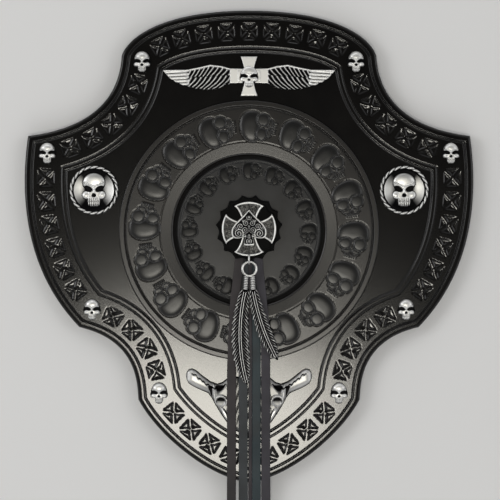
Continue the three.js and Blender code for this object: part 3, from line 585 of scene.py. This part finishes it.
def arm_shell(centre, bearing, start, end, widths, base, top, recess, border, end_arc=None, pebble=0.0):
    """Flared arm of a cross: a slab with a raised border and a sunk, stippled floor.

    Widths are half widths at the start and the end of the arm, which widens with the square of the way.
    """
    v = np.linspace(0, 1, 40)[:, None]
    u = np.linspace(-1, 1, 41)[None]
    half = widths[0] + (widths[1] - widths[0]) * v ** 1.7
    reach = start + (end - start) * v + 0 * u
    across = u * half
    if end_arc:
        reach = reach - (end_arc - np.sqrt(end_arc ** 2 - across ** 2)) * v ** 2
    gap = np.minimum((1 - np.abs(u)) * half, (end - start) * (1 - v))
    rim = 1 - smooth(border * 0.75, border * 1.2, gap)
    bevel = smooth(0, 0.35, gap)
    stipple = pebble * np.sin(reach * 5.2) * np.sin(across * 5.2) * (1 - rim)
    relief = rim * recess * (0.55 + 0.45 * bevel) + stipple
    ahead = np.array([np.cos(bearing), np.sin(bearing)])
    left = np.array([-ahead[1], ahead[0]])
    plan = reach[..., None] * ahead + across[..., None] * left + np.array(centre)
    surface = np.concatenate([plan, (top - recess + relief)[..., None]], axis=-1)
    return slab(surface, np.clip(rim * 0.9 + 0.25 * (stipple > 0) + 0.08, 0, 1), base)


def steer_shell(centre):
    """Longhorn skull: one relief over its outline, which runs from horn to horn and down to the muzzle.

    Its edges are rounded. A ragged crack follows each horn, ridges run from the brow down the cheeks, and
    the eyes and the nose are hollows.
    """
    station = np.linspace(-45.4, 45.4, 241)
    reach = np.abs(station)
    upper = np.interp(reach, [0, 8, 13, 15.6, 19, 22.9, 28, 34, 38, 41, 43.6, 45.0, 45.4],
                      [17.2, 17.4, 17.6, 16.4, 13.6, 12.3, 14.2, 18.6, 22.0, 23.3, 22.6, 20.4, 18.2])
    lower = np.interp(reach, [0, 6, 9, 12, 16, 20.5, 24.6, 27, 29.4, 33, 38, 41, 43.6, 45.0, 45.4],
                      [-23.4, -23.2, -22.0, -19.6, -15.6, -9.2, -2.4, 2.2, 5.4, 7.0, 9.2, 10.8, 12.6,
                       15.6, 17.6])
    x, y = between(station, lower, upper, 101)
    a = np.abs(x)
    gap = np.minimum(np.minimum(upper[:, None] - y, y - lower[:, None]), (45.6 - a) * 0.9)
    soft = 4.9 - 1.0 * smooth(26, 16, a)
    round_edge = rounded((1 - np.minimum(gap, soft) / soft) ** 2)
    body = (2.6 + 0.9 * smooth(16, 2, a) + 0.5 * smooth(24, 34, a)) * round_edge
    ragged = 0.9 * np.abs(np.mod(a / 5.2, 1.0) - 0.5) * 2 + 0.5 * np.sin(a * 2.1)
    crack_line = upper[:, None] - y - 3.4 - ragged
    horn = smooth(15.5, 18, a) * (1 - smooth(40, 42.5, a))
    crack = hump(crack_line, 0.42) * horn
    eye = np.hypot(a - 20.2, y + 0.8)
    ring = hump(eye - 4.3, 0.6) * smooth(-4.5, 0.5, y)
    hollow = (1 - smooth(2.4, 3.6, eye)) * (0.45 + 0.55 * smooth(-4, 2, y))
    fall = smooth(3.4, 10.8, y)
    wedge = (1 - smooth(0.5, 1.05, np.abs(a - 21.4 - 0.35 * (8 - y)) / (0.6 + 3.2 * fall))) * fall
    wedge *= 1 - smooth(10.6, 11.6, y)
    notch = 1 - smooth(0.4, 1.05, np.abs(a - 27.6 + 0.2 * (8 - y)) / (0.3 + 1.5 * smooth(2, 11, y)))
    notch *= smooth(2.5, 5, y) * (1 - smooth(10.2, 11.4, y))
    ridge = hump(a - 25.0 - 0.06 * (y - 7), 0.5) * smooth(0, 2, y) * (1 - smooth(11, 13, y))
    tusk = 1 - smooth(0.5, 1.05, np.hypot((a - 17.4 - 0.4 * (y + 9.7)) / 2.0, (y + 9.7) / 5.2))
    nose = 1 - smooth(0.7, 1.0, np.hypot((a - 3.8) / 2.0, (y + 17.4) / 3.4))
    folds = hump(np.sin(a * 0.95 + 0.35 * y), 0.3) * (1 - smooth(14, 17, a)) * smooth(-18, -12, y)
    raised = 0.9 * ring + 0.6 * ridge + 0.8 * tusk
    cut = 1.2 * crack + 1.1 * hollow + 1.0 * wedge + 0.9 * notch + 1.4 * nose + 0.5 * folds
    relief = np.clip(body + raised - cut, 0.0, 4.6)
    surface = np.stack([x, y, 12.5 + relief], axis=-1) + [centre[0], centre[1], 0]
    shade = 0.46 * smooth(0.0, 2.6, body) + 0.24 * smooth(24, 42, a) + 0.4 * raised - 0.5 * cut
    # Painted light: the lower part of each eye hollow is painted bright, and only its upper part under the
    # rim stays dark.
    shade += 0.95 * hollow * (1 - smooth(-2.5, 1.5, y))
    return slab(surface, np.clip(shade, 0, 1), CAST_BASE)


def spade_outline(angle):
    """Distance from the spade's middle to its outline: a rounded heart, point up, on a flared foot."""
    turned = np.mod(angle - np.pi / 2 + np.pi, 2 * np.pi) - np.pi
    bearing = np.degrees(np.abs(turned))
    return np.interp(bearing, [0, 8, 20, 40, 60, 80, 92, 107, 115, 124, 132, 143, 155, 158, 163, 180],
                     [13.6, 11.9, 10.3, 9.5, 9.8, 11.2, 12.4, 13.3, 13.5, 12.6, 10.8, 8.3, 6.6, 7.0, 12.6,
                      12.4])


def curls(x, y):
    """Scrollwork: spiral ridges round mirrored centres, each cut off at its own reach."""
    a = np.abs(x)
    best = np.zeros_like(x)
    for cx, cy, reach, pitch, hand in (
            (7.4, -3.6, 3.7, 1.6, 1), (2.7, -1.0, 2.6, 1.3, -1), (6.2, 1.5, 2.4, 1.3, -1),
            (2.2, 3.9, 2.4, 1.3, 1), (3.4, -5.2, 1.9, 1.2, 1), (10.2, 0.2, 1.4, 1.1, 1),
            (0.0, 7.9, 1.9, 1.2, 1), (0.0, -9.4, 2.2, 1.2, 1), (0.0, 1.2, 1.5, 1.1, 1),
            (4.2, 5.6, 1.2, 1.1, -1), (0.0, -5.2, 1.6, 1.1, 1)):
        distance = np.hypot(a - cx, y - cy)
        bearing = np.arctan2(y - cy, a - cx)
        phase = np.mod(distance / pitch - hand * bearing / (2 * np.pi), 1.0) - 0.5
        best = np.maximum(best, hump(phase, 0.2) * (1 - smooth(reach - 0.4, reach + 0.2, distance)))
    return best


def spade_shell(centre):
    """Spade on the boss: a raised rim round dense scrollwork."""
    angle = bearings(240, -np.pi)
    outline = spade_outline(angle)
    share = np.concatenate([np.linspace(0.012, 0.985, 78), [1.0]])
    radius = share[:, None] * outline[None]
    x, y = radius * np.cos(angle), radius * np.sin(angle)
    gap = (1 - share)[:, None] * outline[None]
    rim = rounded(((gap - 0.75) / 0.75) ** 2)
    scroll = curls(x, y) * smooth(1.5, 1.9, gap)
    relief = np.maximum(rim * 1.15, 0.25 + 0.95 * scroll) * smooth(-0.1, 0.15, gap + 0.02)
    base = 20.6
    top = np.stack([x, y, base + 0.55 + relief], axis=-1)
    return standing(top, smooth(0.3, 1.0, relief), base, centre)


def feather_parts(stem_end, tip, bow, width, base, loop_centre, loop_level):
    """Feather: a leaf with slanting barbs and jagged edges, a double quill, a bound stem and its loop."""
    start, end = np.array(stem_end), np.array(tip)
    t = np.linspace(0, 1, 230)
    chord = end - start
    left = unit(np.array([-chord[1], chord[0]]))
    spine = start + t[:, None] * chord + (bow * 4 * t * (1 - t))[:, None] * left
    leaf = 1.1 * np.clip(t, 0.01, 1) ** 0.27 * (1 - t ** 4.5) ** 0.7
    run = t * np.linalg.norm(chord)
    u = np.linspace(-1, 1, 61)[None]
    jag = 1 - 0.26 * np.mod(-run / 4.2, 1.0) * smooth(0.05, 0.2, t)
    half = np.maximum(width / 2 * leaf * jag, 0.25)[:, None]
    across = u * half
    barb = hump(np.mod((run[:, None] - 1.3 * np.abs(across)) / 2.6, 1.0) - 0.5, 0.2)
    quill = hump(np.abs(across) - 0.75, 0.3) * smooth(0, 0.5, half - 1.2)
    groove = hump(across, 0.35) * smooth(0, 0.5, half - 1.2)
    edge = smooth(0, 0.5, half - np.abs(across))
    relief = (0.45 + 0.5 * barb * smooth(1.3, 1.9, np.abs(across))) * edge + 0.35 * quill - 0.25 * groove
    plan = spine[:, None] + across[..., None] * normals(spine)[:, None]
    surface = np.concatenate([plan, (base + 0.45 + relief)[..., None]], axis=-1)
    fringe = smooth(0.5, 0.95, np.abs(u) + 0 * relief)
    edging = smooth(0.9, 0.97, np.abs(u) + 0 * relief)
    barb *= smooth(1.2, 1.7, np.abs(across))
    shade = np.clip(0.7 * barb * fringe + 0.35 * barb + 0.5 * edging + 0.85 * quill - groove, 0, 1)
    turn = bearings(72)
    loop = np.column_stack([loop_centre[0] + 5 * np.cos(turn), loop_centre[1] + 5 * np.sin(turn),
                            np.full(len(turn), loop_level)])
    foot = np.array([loop_centre[0] + 0.75 * stem_end[0], loop_centre[1] - 4.9, loop_level])
    s = np.linspace(0, 1, 96)[:, None]
    stem = foot * (1 - s) + np.array([*stem_end, base + 0.9]) * s
    stem = np.concatenate([stem, [[*(start + 0.03 * chord), base + 0.8]]])
    binding = np.abs(np.sin(np.arange(len(stem)) * np.pi / 12))
    sides = 16
    bound = tube(stem, 1.55 * (1 + 0.25 * binding), sides)
    return [slab(surface, shade, base), (bound, np.repeat(np.clip(binding, 0.1, 1), sides)),
            (tube(loop, 0.68, closed=True), BRIGHT)]


# Straps: width, then x, y and z along each route in millimetres, the same as in the solids. The three in
# the middle lie alike over the disc and the ring.

OVER_Y = [-9.5, -24, -34, -50, -60, -66, -88, -98, -120, -148]
OVER_Z = [14.55, 14.55, 16.2, 16.3, 16.6, 17.95, 18.0, 18.3, 18.4, 18.2]
STRAPS = {
    "a": (6.5,
          [-6.8, -7.1, -8.3, -10.3, -11.1, -12.0, -12.5, -12.6, -12.6, -12.6, -12.6, -12.7,
           -12.9, -13.3, -13.6, -13.9],
          [-9.5, -24, -34, -50, -64, -86, -98, -120, -145, -162, -181, -195, -209, -223, -236, -248],
          [16.15, 16.15, 17.85, 17.95, 18.0, 18.0, 18.3, 18.4, 18.1, 14.0, 13.4, 11.0, 6.2, 2.2,
           1.05, 1.0]),
    "b": (6.5,
          [-3.7, -3.7, -3.8, -4.0, -4.1, -4.1, -4.2, -4.2, -4.2, -4.2, -4.2, -4.2, -4.2, -4.3,
           -4.5, -4.8, -5.1],
          OVER_Y + [-164, -182, -196, -210, -224, -238, -254],
          OVER_Z + [14.2, 13.4, 11.0, 6.2, 2.2, 1.05, 1.0]),
    "c": (2.6,
          [1.0, 1.0, 1.0, 0.9, 0.9, 0.9, 0.9, 0.9, 0.9, 0.9, 0.9, 0.9, 0.9, 0.8, 0.6, 0.3, 0.1],
          OVER_Y + [-163, -181, -194, -207, -220, -231, -240],
          OVER_Z + [14.0, 13.3, 10.6, 5.8, 2.0, 1.05, 1.0]),
    "d": (6.1,
          [5.4, 5.4, 5.4, 5.3, 5.3, 5.3, 5.3, 5.3, 5.3, 5.3, 5.3, 5.3, 5.4, 5.4, 5.4, 5.4, 5.3],
          OVER_Y + [-164, -182, -196, -210, -223, -237, -251],
          OVER_Z + [14.2, 13.4, 11.0, 6.2, 2.2, 1.05, 1.0]),
    "e": (6.4,
          [6.4, 6.7, 7.8, 9.6, 10.5, 11.3, 11.7, 12.0, 12.0, 12.0, 12.0, 12.0, 12.1, 12.2, 12.4,
           12.9, 13.4],
          [-9.5, -24, -34, -50, -60, -66, -75, -88, -98, -120, -145, -162, -181, -195, -209,
           -225, -245],
          [16.15, 16.15, 17.85, 18.0, 18.3, 19.6, 18.3, 18.0, 18.3, 18.4, 18.1, 14.0, 13.4,
           11.0, 6.2, 2.1, 1.0]),
}
STRAP_THICKNESS = 1.3


def strap_route(points, step=1.0):
    """Route divided evenly, its bends eased by averaging each point with its neighbours."""
    run = lengths(points)
    at = np.linspace(0, run[-1], int(run[-1] / step) + 1)
    route = np.stack([np.interp(at, run, points[:, i]) for i in range(3)], axis=1)
    for _ in range(24):
        route[1:-1] = (route[:-2] + 2 * route[1:-1] + route[2:]) / 4
    return route


def strap_shell(route, width):
    """Flat strap with soft corners: a level-lying section carried along the route."""
    ahead = unit(np.gradient(route, axis=0))
    side = unit(np.stack([ahead[:, 1], -ahead[:, 0], np.zeros(len(route))], axis=1))
    over = np.cross(side, ahead)
    turn = bearings(28)
    across = np.sign(np.cos(turn)) * np.abs(np.cos(turn)) ** 0.35 * width / 2
    rise = np.sign(np.sin(turn)) * np.abs(np.sin(turn)) ** 0.5 * STRAP_THICKNESS / 2
    rings = route[:, None] + across[None, :, None] * side[:, None] + rise[None, :, None] * over[:, None]
    return shell(rings, route[[0, -1]])


# Materials

def node(tree, kind, settings=None, **links):
    """Adds a node, sets its properties and socket values, and links sockets named with underscores."""
    made = tree.nodes.new(kind)
    for key, value in (settings or {}).items():
        if hasattr(made, key):
            setattr(made, key, value)
        else:
            made.inputs[key].default_value = value
    for key, value in links.items():
        tree.links.new(value, made.inputs[key.replace("_", " ")])
    return made


def ramp(tree, value, low, high, dark, bright):
    """Colour ramp between two places of a value."""
    made = node(tree, "ShaderNodeValToRGB", Fac=value)
    first, second = made.color_ramp.elements
    first.position, first.color = low, dark
    second.position, second.color = high, bright
    return made.outputs["Color"]


def grain(tree, size, strength, distance, detail=4.0):
    """Bump from fine noise, its cells a given size in millimetres."""
    place = node(tree, "ShaderNodeTexCoord").outputs["Object"]
    noise = node(tree, "ShaderNodeTexNoise", {"Scale": 1000.0 / size, "Detail": detail}, Vector=place)
    return node(tree, "ShaderNodeBump", {"Strength": strength, "Distance": distance * MM},
                Height=noise.outputs["Fac"]).outputs["Normal"]


def principled(name, values):
    """New material, its node tree and its shader, with the given socket values."""
    made = bpy.data.materials.new(name)
    made.use_nodes = True
    shader = made.node_tree.nodes["Principled BSDF"]
    for key, value in values.items():
        shader.inputs[key].default_value = value
    return made, made.node_tree, shader


def leather(name, dark, bright, roughness, grain_size, grain_depth, shine=0.5):
    """Leather: its colour wanders a little between two tones, under a fine grain."""
    made, tree, shader = principled(name, {"Roughness": roughness, "Specular IOR Level": shine})
    place = node(tree, "ShaderNodeTexCoord").outputs["Object"]
    mottle = node(tree, "ShaderNodeTexNoise", {"Scale": 60.0, "Detail": 5.0}, Vector=place).outputs["Fac"]
    tree.links.new(ramp(tree, mottle, 0.3, 0.7, linear(dark), linear(bright)), shader.inputs["Base Color"])
    tree.links.new(grain(tree, grain_size, 0.5, grain_depth), shader.inputs["Normal"])
    return made


def body_leather(name):
    """Burnished leather, left matte in front under the roundel, where nobody could burnish it.

    The reach from the middle also counts six times the depth below the front, so the back is burnished.
    """
    made = leather(name, "#080707", "#0e0d0c", 0.15, 0.9, 0.012)
    tree = made.node_tree
    shader = tree.nodes["Principled BSDF"]
    place = node(tree, "ShaderNodeTexCoord").outputs["Object"]
    level = node(tree, "ShaderNodeVectorMath", {"operation": "MULTIPLY_ADD"}, Vector=place)
    level.inputs[1].default_value = (1.0, 1.0, 6.0)
    level.inputs[2].default_value = (0.0, 0.0, -6.0 * TOP * MM)
    reach = node(tree, "ShaderNodeVectorMath", {"operation": "LENGTH"}, Vector=level.outputs["Vector"])
    finish = node(tree, "ShaderNodeMapRange",
                  {"From Min": 0.058, "From Max": 0.062, "To Min": 0.95, "To Max": 0.15},
                  Value=reach.outputs["Value"]).outputs["Result"]
    tree.links.new(finish, shader.inputs["Roughness"])
    return made


def tooled_leather(name, dark, bright, roughness, shine):
    """Leather whose tooled skulls are coloured darker, near black, and are rougher than the burnished
    ground.
    """
    made = leather(name, dark, bright, roughness, 0.8, 0.015, shine)
    tree = made.node_tree
    shader = tree.nodes["Principled BSDF"]
    ground = shader.inputs["Base Color"].links[0].from_socket
    relief = node(tree, "ShaderNodeAttribute", {"attribute_name": "wear_and_painted_light"}).outputs["Fac"]
    skull_darkening = node(tree, "ShaderNodeMixRGB", {"Color2": linear("#0a0a0a")}, Fac=relief, Color1=ground)
    tree.links.new(skull_darkening.outputs["Color"], shader.inputs["Base Color"])
    dull = node(tree, "ShaderNodeMapRange", {"To Min": roughness, "To Max": roughness + 0.05}, Value=relief)
    tree.links.new(dull.outputs["Result"], shader.inputs["Roughness"])
    return made


def antique_silver():
    """Cast silver from black to polished along its tone: patina and polish, on some pieces painted light."""
    made, tree, shader = principled("Antique silver", {"Metallic": 1.0, "Roughness": 0.38})
    wear_and_painted_light = node(tree, "ShaderNodeAttribute", {"attribute_name": "wear_and_painted_light"}).outputs["Fac"]
    colour = ramp(tree, wear_and_painted_light, 0.2, 0.85, linear("#121213"), linear("#e4e4e2"))
    tree.links.new(colour, shader.inputs["Base Color"])
    tree.links.new(grain(tree, 0.7, 0.25, 0.05, 2.0), shader.inputs["Normal"])
    return made


def material(name):
    """The shared material of that name, made on first use."""
    makers = {
        # Vegetable-tanned leather, dyed black and burnished
        "Burnished black leather": body_leather,
        # The same leather, less burnished, a dark brown
        "Tooled brown leather": lambda n: tooled_leather(n, "#0f0e0d", "#1a1715", 0.24, 0.5),
        # The same leather, dyed charcoal grey
        "Tooled charcoal leather": lambda n: tooled_leather(n, "#222222", "#2e2e2e", 0.26, 0.24),
        # Coarse-grained leather, unpolished
        "Textured black leather": lambda n: leather(n, "#020202", "#050505", 0.45, 1.6, 0.12, 0.06),
        # Black napped split leather of two straps near the edges, and of the one beside them,
        # its greys and hues painted sheen
        "Black suede with painted brown sheen": lambda n: leather(n, "#262223", "#332e2f", 0.7, 0.6, 0.1),
        "Black suede with painted purple grey sheen": lambda n: leather(n, "#29272c", "#37353b", 0.7, 0.6, 0.1),
        "Black suede with painted charcoal sheen": lambda n: leather(n, "#25282a", "#323639", 0.65, 0.6, 0.1),
        # Black smooth garment leather of the other two straps, its hues painted sheen
        "Black leather with painted aubergine sheen": lambda n: leather(n, "#1a161b", "#262027", 0.5, 0.6, 0.06),
        "Black leather with painted teal sheen": lambda n: leather(n, "#152024", "#1f3035", 0.55, 0.6, 0.06),
        # Cast zinc with a plating of silver, blackened and polished on its high places;
        # the conchos and the steer skull also carry painted shade and painted highlights
        "Antique silver": lambda n: antique_silver(),
    }
    return bpy.data.materials.get(name) or makers[name](name)


def cast(name, parts):
    """Cast silver piece in the place of the solid of that name."""
    item = piece("cast_" + name, parts, material("Antique silver"))
    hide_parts(name)


# Material of each strap; their greys and hues are painted sheen on black leather.
STRAP_MATERIALS = {
    "a": ("Black suede with painted brown sheen", "strap_brown"), "b": ("Black suede with painted charcoal sheen", "strap_charcoal"),
    "c": ("Black leather with painted aubergine sheen", "strap_aubergine"), "d": ("Black leather with painted teal sheen", "strap_teal"),
    "e": ("Black suede with painted purple grey sheen", "strap_grey"),
}


# Operators: one for each piece or group of like pieces

class SHIELD_PG_settings(bpy.types.PropertyGroup):
    """Measures of the shield's visible leather and silver"""

    skull_count: bpy.props.IntProperty(name="Skulls", description="Tooled skulls in each row",
                                       default=16, min=4)
    ring_turn: bpy.props.FloatProperty(name="Ring turn", description="Turn of the ring's first skull",
                                       default=-0.07, subtype="ANGLE")
    disc_turn: bpy.props.FloatProperty(name="Disc turn", description="Turn of the disc's first skull",
                                       default=-0.036, subtype="ANGLE")
    camera_height: bpy.props.FloatProperty(name="Camera height", description="Camera above the shield",
                                           default=1.612, unit="LENGTH")
    light_strength: bpy.props.FloatProperty(name="Light", description="Strength of all lamps",
                                            default=1.0, min=0.0)


class Building(bpy.types.Operator):
    """Base of the operators that build a piece"""

    bl_options = {"REGISTER", "UNDO"}

    def execute(self, context):
        """Builds the piece, and stops the script when it can't"""
        self.build(context, context.scene.shield)
        return {"FINISHED"}


class SHIELD_OT_stage(Building):
    """Adds the camera, the floor and the lamps"""

    bl_idname = "shield.stage"
    bl_label = "Stage"

    def build(self, context, settings):
        """Looks straight down on a pale floor, with a soft lamp mirrored in the lower half of the leather"""
        camera = add("Camera", bpy.data.cameras.new("Camera"), (0.0007, -0.014, settings.camera_height))
        camera.data.lens = 160.0
        camera.data.sensor_width = 36.0
        camera.data.clip_end = 20.0
        context.scene.camera = camera
        paint = principled("Pale floor", {"Base Color": linear("#e1e1e1"), "Roughness": 0.95,
                                          "Specular IOR Level": 0.1})[0]
        mesh = bpy.data.meshes.new("Floor")
        size = 6.0
        corners = [(x * size, y * size, 0) for x, y in ((-1, -1), (1, -1), (1, 1), (-1, 1))]
        mesh.from_pydata(corners, [], [(0, 1, 2, 3)])
        mesh.materials.append(paint)
        floor = add("Floor", mesh, (0, 0, -0.0002))
        white, warm = (1.0, 1.0, 1.0), (1.0, 0.965, 0.87)
        middle, lower_half = Vector((0.0, 0.0, 0.0)), Vector((0.0, -0.1, 0.0))
        for name, place, target, extent, power, colour in (
                ("Overhead softbox", (-0.045, -0.3, 2.1), lower_half, (0.42, 0.25), 7.4, warm),
                ("Left softbox", (-1.5, 0.4, 1.6), middle, (1.0, 1.0), 8.4, white),
                ("Right softbox", (1.5, 0.2, 1.6), middle, (1.0, 0.8), 3.0, white),
                ("Far softbox", (-0.3, 1.7, 1.5), middle, (1.2, 0.8), 3.0, white),
                ("Near softbox", (0.1, -2.0, 1.4), middle, (1.2, 0.8), 3.0, white)):
            light = bpy.data.lights.new(name, "AREA")
            light.shape = "RECTANGLE"
            light.size, light.size_y = extent
            light.energy = power * settings.light_strength
            light.color = colour
            lamp = add(name, light, place)
            lamp.rotation_euler = (Vector(place) - target).to_track_quat("Z", "Y").to_euler()
        world = bpy.data.worlds.new("Studio")
        world.use_nodes = True
        tree = world.node_tree
        place = node(tree, "ShaderNodeTexCoord").outputs["Generated"]
        height = node(tree, "ShaderNodeSeparateXYZ", Vector=place).outputs["Z"]
        background = tree.nodes["Background"]
        sky = ramp(tree, height, 0.78, 0.98, linear("#c4c4c4"), linear("#1c1c1c"))
        tree.links.new(sky, background.inputs["Color"])
        background.inputs["Strength"].default_value = 1.0
        context.scene.world = world
        context.scene.view_settings.view_transform = "Standard"


class SHIELD_OT_straps(Building):
    bl_idname = "shield.straps"
    bl_label = "Straps"

    def build(self, context, settings):
        """Carries a flat section along each route"""
        for key, (width, x, y, z) in STRAPS.items():
            name, slot = STRAP_MATERIALS[key]
            route = strap_route(np.column_stack([x, y, z]))
            item = piece("leather_strap_" + key, [(strap_shell(route, width), PLAIN)], material(name))
            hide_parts("strap_" + key)


class SHIELD_OT_body(Building):
    """Builds the carved body"""

    bl_idname = "shield.body"
    bl_label = "Body"

    def build(self, context, settings):
        """One closed shell from the middle of the back to the middle of the front"""
        body = shell(shield_surface(), np.array([[0.0, 0.0, 0.0], [0.0, 0.0, TOP]]))
        item = piece("carved_body", [(body, PLAIN)], material("Burnished black leather"))
        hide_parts("shield_body")


class SHIELD_OT_roundel(Building):
    """Builds the skull ring, the centre disc and the rosette"""

    bl_idname = "shield.roundel"
    bl_label = "Roundel"

    def build(self, context, settings):
        """Turned profiles with a row of tooled skulls on each"""
        count = settings.skull_count
        radii = np.concatenate([np.linspace(RING_HOLE, 62.5, 9), np.linspace(62.9, 88.2, 60),
                                np.linspace(88.6, RING_RADIUS, 16)])
        part = round_leather(RING_HOLE, RING_RADIUS, RING_LOW[2], ring_profile, 75.0, 1.0,
                             settings.ring_turn, count, count * 54, radii)
        ring = piece("tooled_skull_ring", [part], material("Tooled brown leather"))
        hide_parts("skull_ring")
        radii = np.concatenate([np.linspace(DISC_HOLE, 35.5, 5), np.linspace(35.9, 50.4, 42),
                                np.linspace(50.7, DISC_RADIUS, 6)])
        part = round_leather(DISC_HOLE, DISC_RADIUS, DISC_LOW[2], disc_profile, 43.0, 0.57,
                             settings.disc_turn, count, count * 40, radii)
        disc = piece("tooled_centre_disc", [part], material("Tooled charcoal leather"))
        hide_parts("centre_disc")
        part = rosette_shell(), PLAIN
        washer = piece("scalloped_rosette", [part], material("Textured black leather"))
        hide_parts("rosette")


class SHIELD_OT_boss(Building):
    """Builds the cross concho with its spade and bail, and the two feathers"""

    bl_idname = "shield.boss"
    bl_label = "Boss and feathers"

    def build(self, context, settings):
        """Four flared arms, the spade, the bail on its lug, then the feathers on their loops"""
        parts = [arm_shell((0, 1), bearing, 1.5, 19.5, (4.2, 10.7), 19.42, 21.0, 0.6, 1.25, 19.5, 0.12)
                 for bearing in np.radians([0, 90, 180, 270])]
        parts.append(spade_shell((0, 1.4)))
        turn = np.linspace(-0.5 * np.pi, 1.5 * np.pi, 60)[5:-5]
        bail = np.column_stack([0 * turn, -20.59 + 3.05 * np.cos(turn), 23.53 + 2.98 * np.sin(turn)])
        parts.append((tube(bail, 0.75), BRIGHT))
        cast("cross_concho", parts)
        for name, values in (
                ("feather_long", ((-2.4, -42), (-1.2, -110.5), -4.6, 15, 19.5, (0, -27.49), 22.5)),
                ("feather_short", ((2.9, -42), (20.5, -92.7), -2.4, 12.5, 21.2, (0.5, -27.49), 24.2))):
            cast(name, feather_parts(*values))


class SHIELD_OT_ornaments(Building):
    """Builds the winged cross, the steer skull, the round conchos and the studs"""

    bl_idname = "shield.ornaments"
    bl_label = "Ornaments"

    def build(self, context, settings):
        """Each cast piece is a relief over its own outline"""
        parts = [wing_shell(side, (0.0, 111.0)) for side in (-1, 1)]
        for quarter in range(4):
            reach, widths = ((8.2, (2.6, 4.4)), (14.1, (2.9, 6.0)))[quarter % 2]
            parts.append(arm_shell((0, 111.0), np.radians(90 * quarter), 0.5, reach, widths,
                                   12.33, 14.7, 0.4, 6.0))
        parts.append(skull_shell((0, 110.6), (6.8, 7.8), 14.55, 0.2, 0.2, 1.15 / 2.9, 16.1, 132, 34))
        cast("winged_cross", parts)
        cast("steer_skull", [steer_shell((0.0, -122.5))])
        for name in ("round_concho_left", "round_concho_right"):
            low, high = box_mm(name)
            cast(name, [concho_shell((low + high) / 2)])
        for name in STUD_NODES:
            low, high = box_mm(name)
            middle, half = (low + high) / 2, (high - low) / 2
            cast(name, [skull_shell(middle, half, low[2] + 0.02, 0.98, 0.3, 0.92, high[2])])


class SHIELD_PT_panel(bpy.types.Panel):
    """Sidebar panel with the measures and the operators"""

    bl_label = "Leather Shield"
    bl_idname = "SHIELD_PT_panel"
    bl_space_type = "VIEW_3D"
    bl_region_type = "UI"
    bl_category = "Leather Shield"

    def draw(self, context):
        """Lists every measure, then a button for every operator"""
        for name in SHIELD_PG_settings.__annotations__:
            self.layout.prop(context.scene.shield, name)
        for operator in OPERATORS:
            self.layout.operator(operator.bl_idname)


OPERATORS = (SHIELD_OT_stage, SHIELD_OT_straps, SHIELD_OT_body, SHIELD_OT_roundel, SHIELD_OT_boss,
             SHIELD_OT_ornaments)
CLASSES = (SHIELD_PG_settings,) + OPERATORS + (SHIELD_PT_panel,)


def register():
    """Registers the classes and the scene's settings"""
    for cls in CLASSES:
        bpy.utils.register_class(cls)
    bpy.types.Scene.shield = bpy.props.PointerProperty(type=SHIELD_PG_settings)


def unregister():
    """Takes the settings and the classes away again"""
    del bpy.types.Scene.shield
    for cls in reversed(CLASSES):
        bpy.utils.unregister_class(cls)


def main():
    """Builds the whole scene"""
    register()
    for operator in OPERATORS:
        category, name = operator.bl_idname.split(".")
        getattr(getattr(bpy.ops, category), name)()


if __name__ == "__main__":
    main()
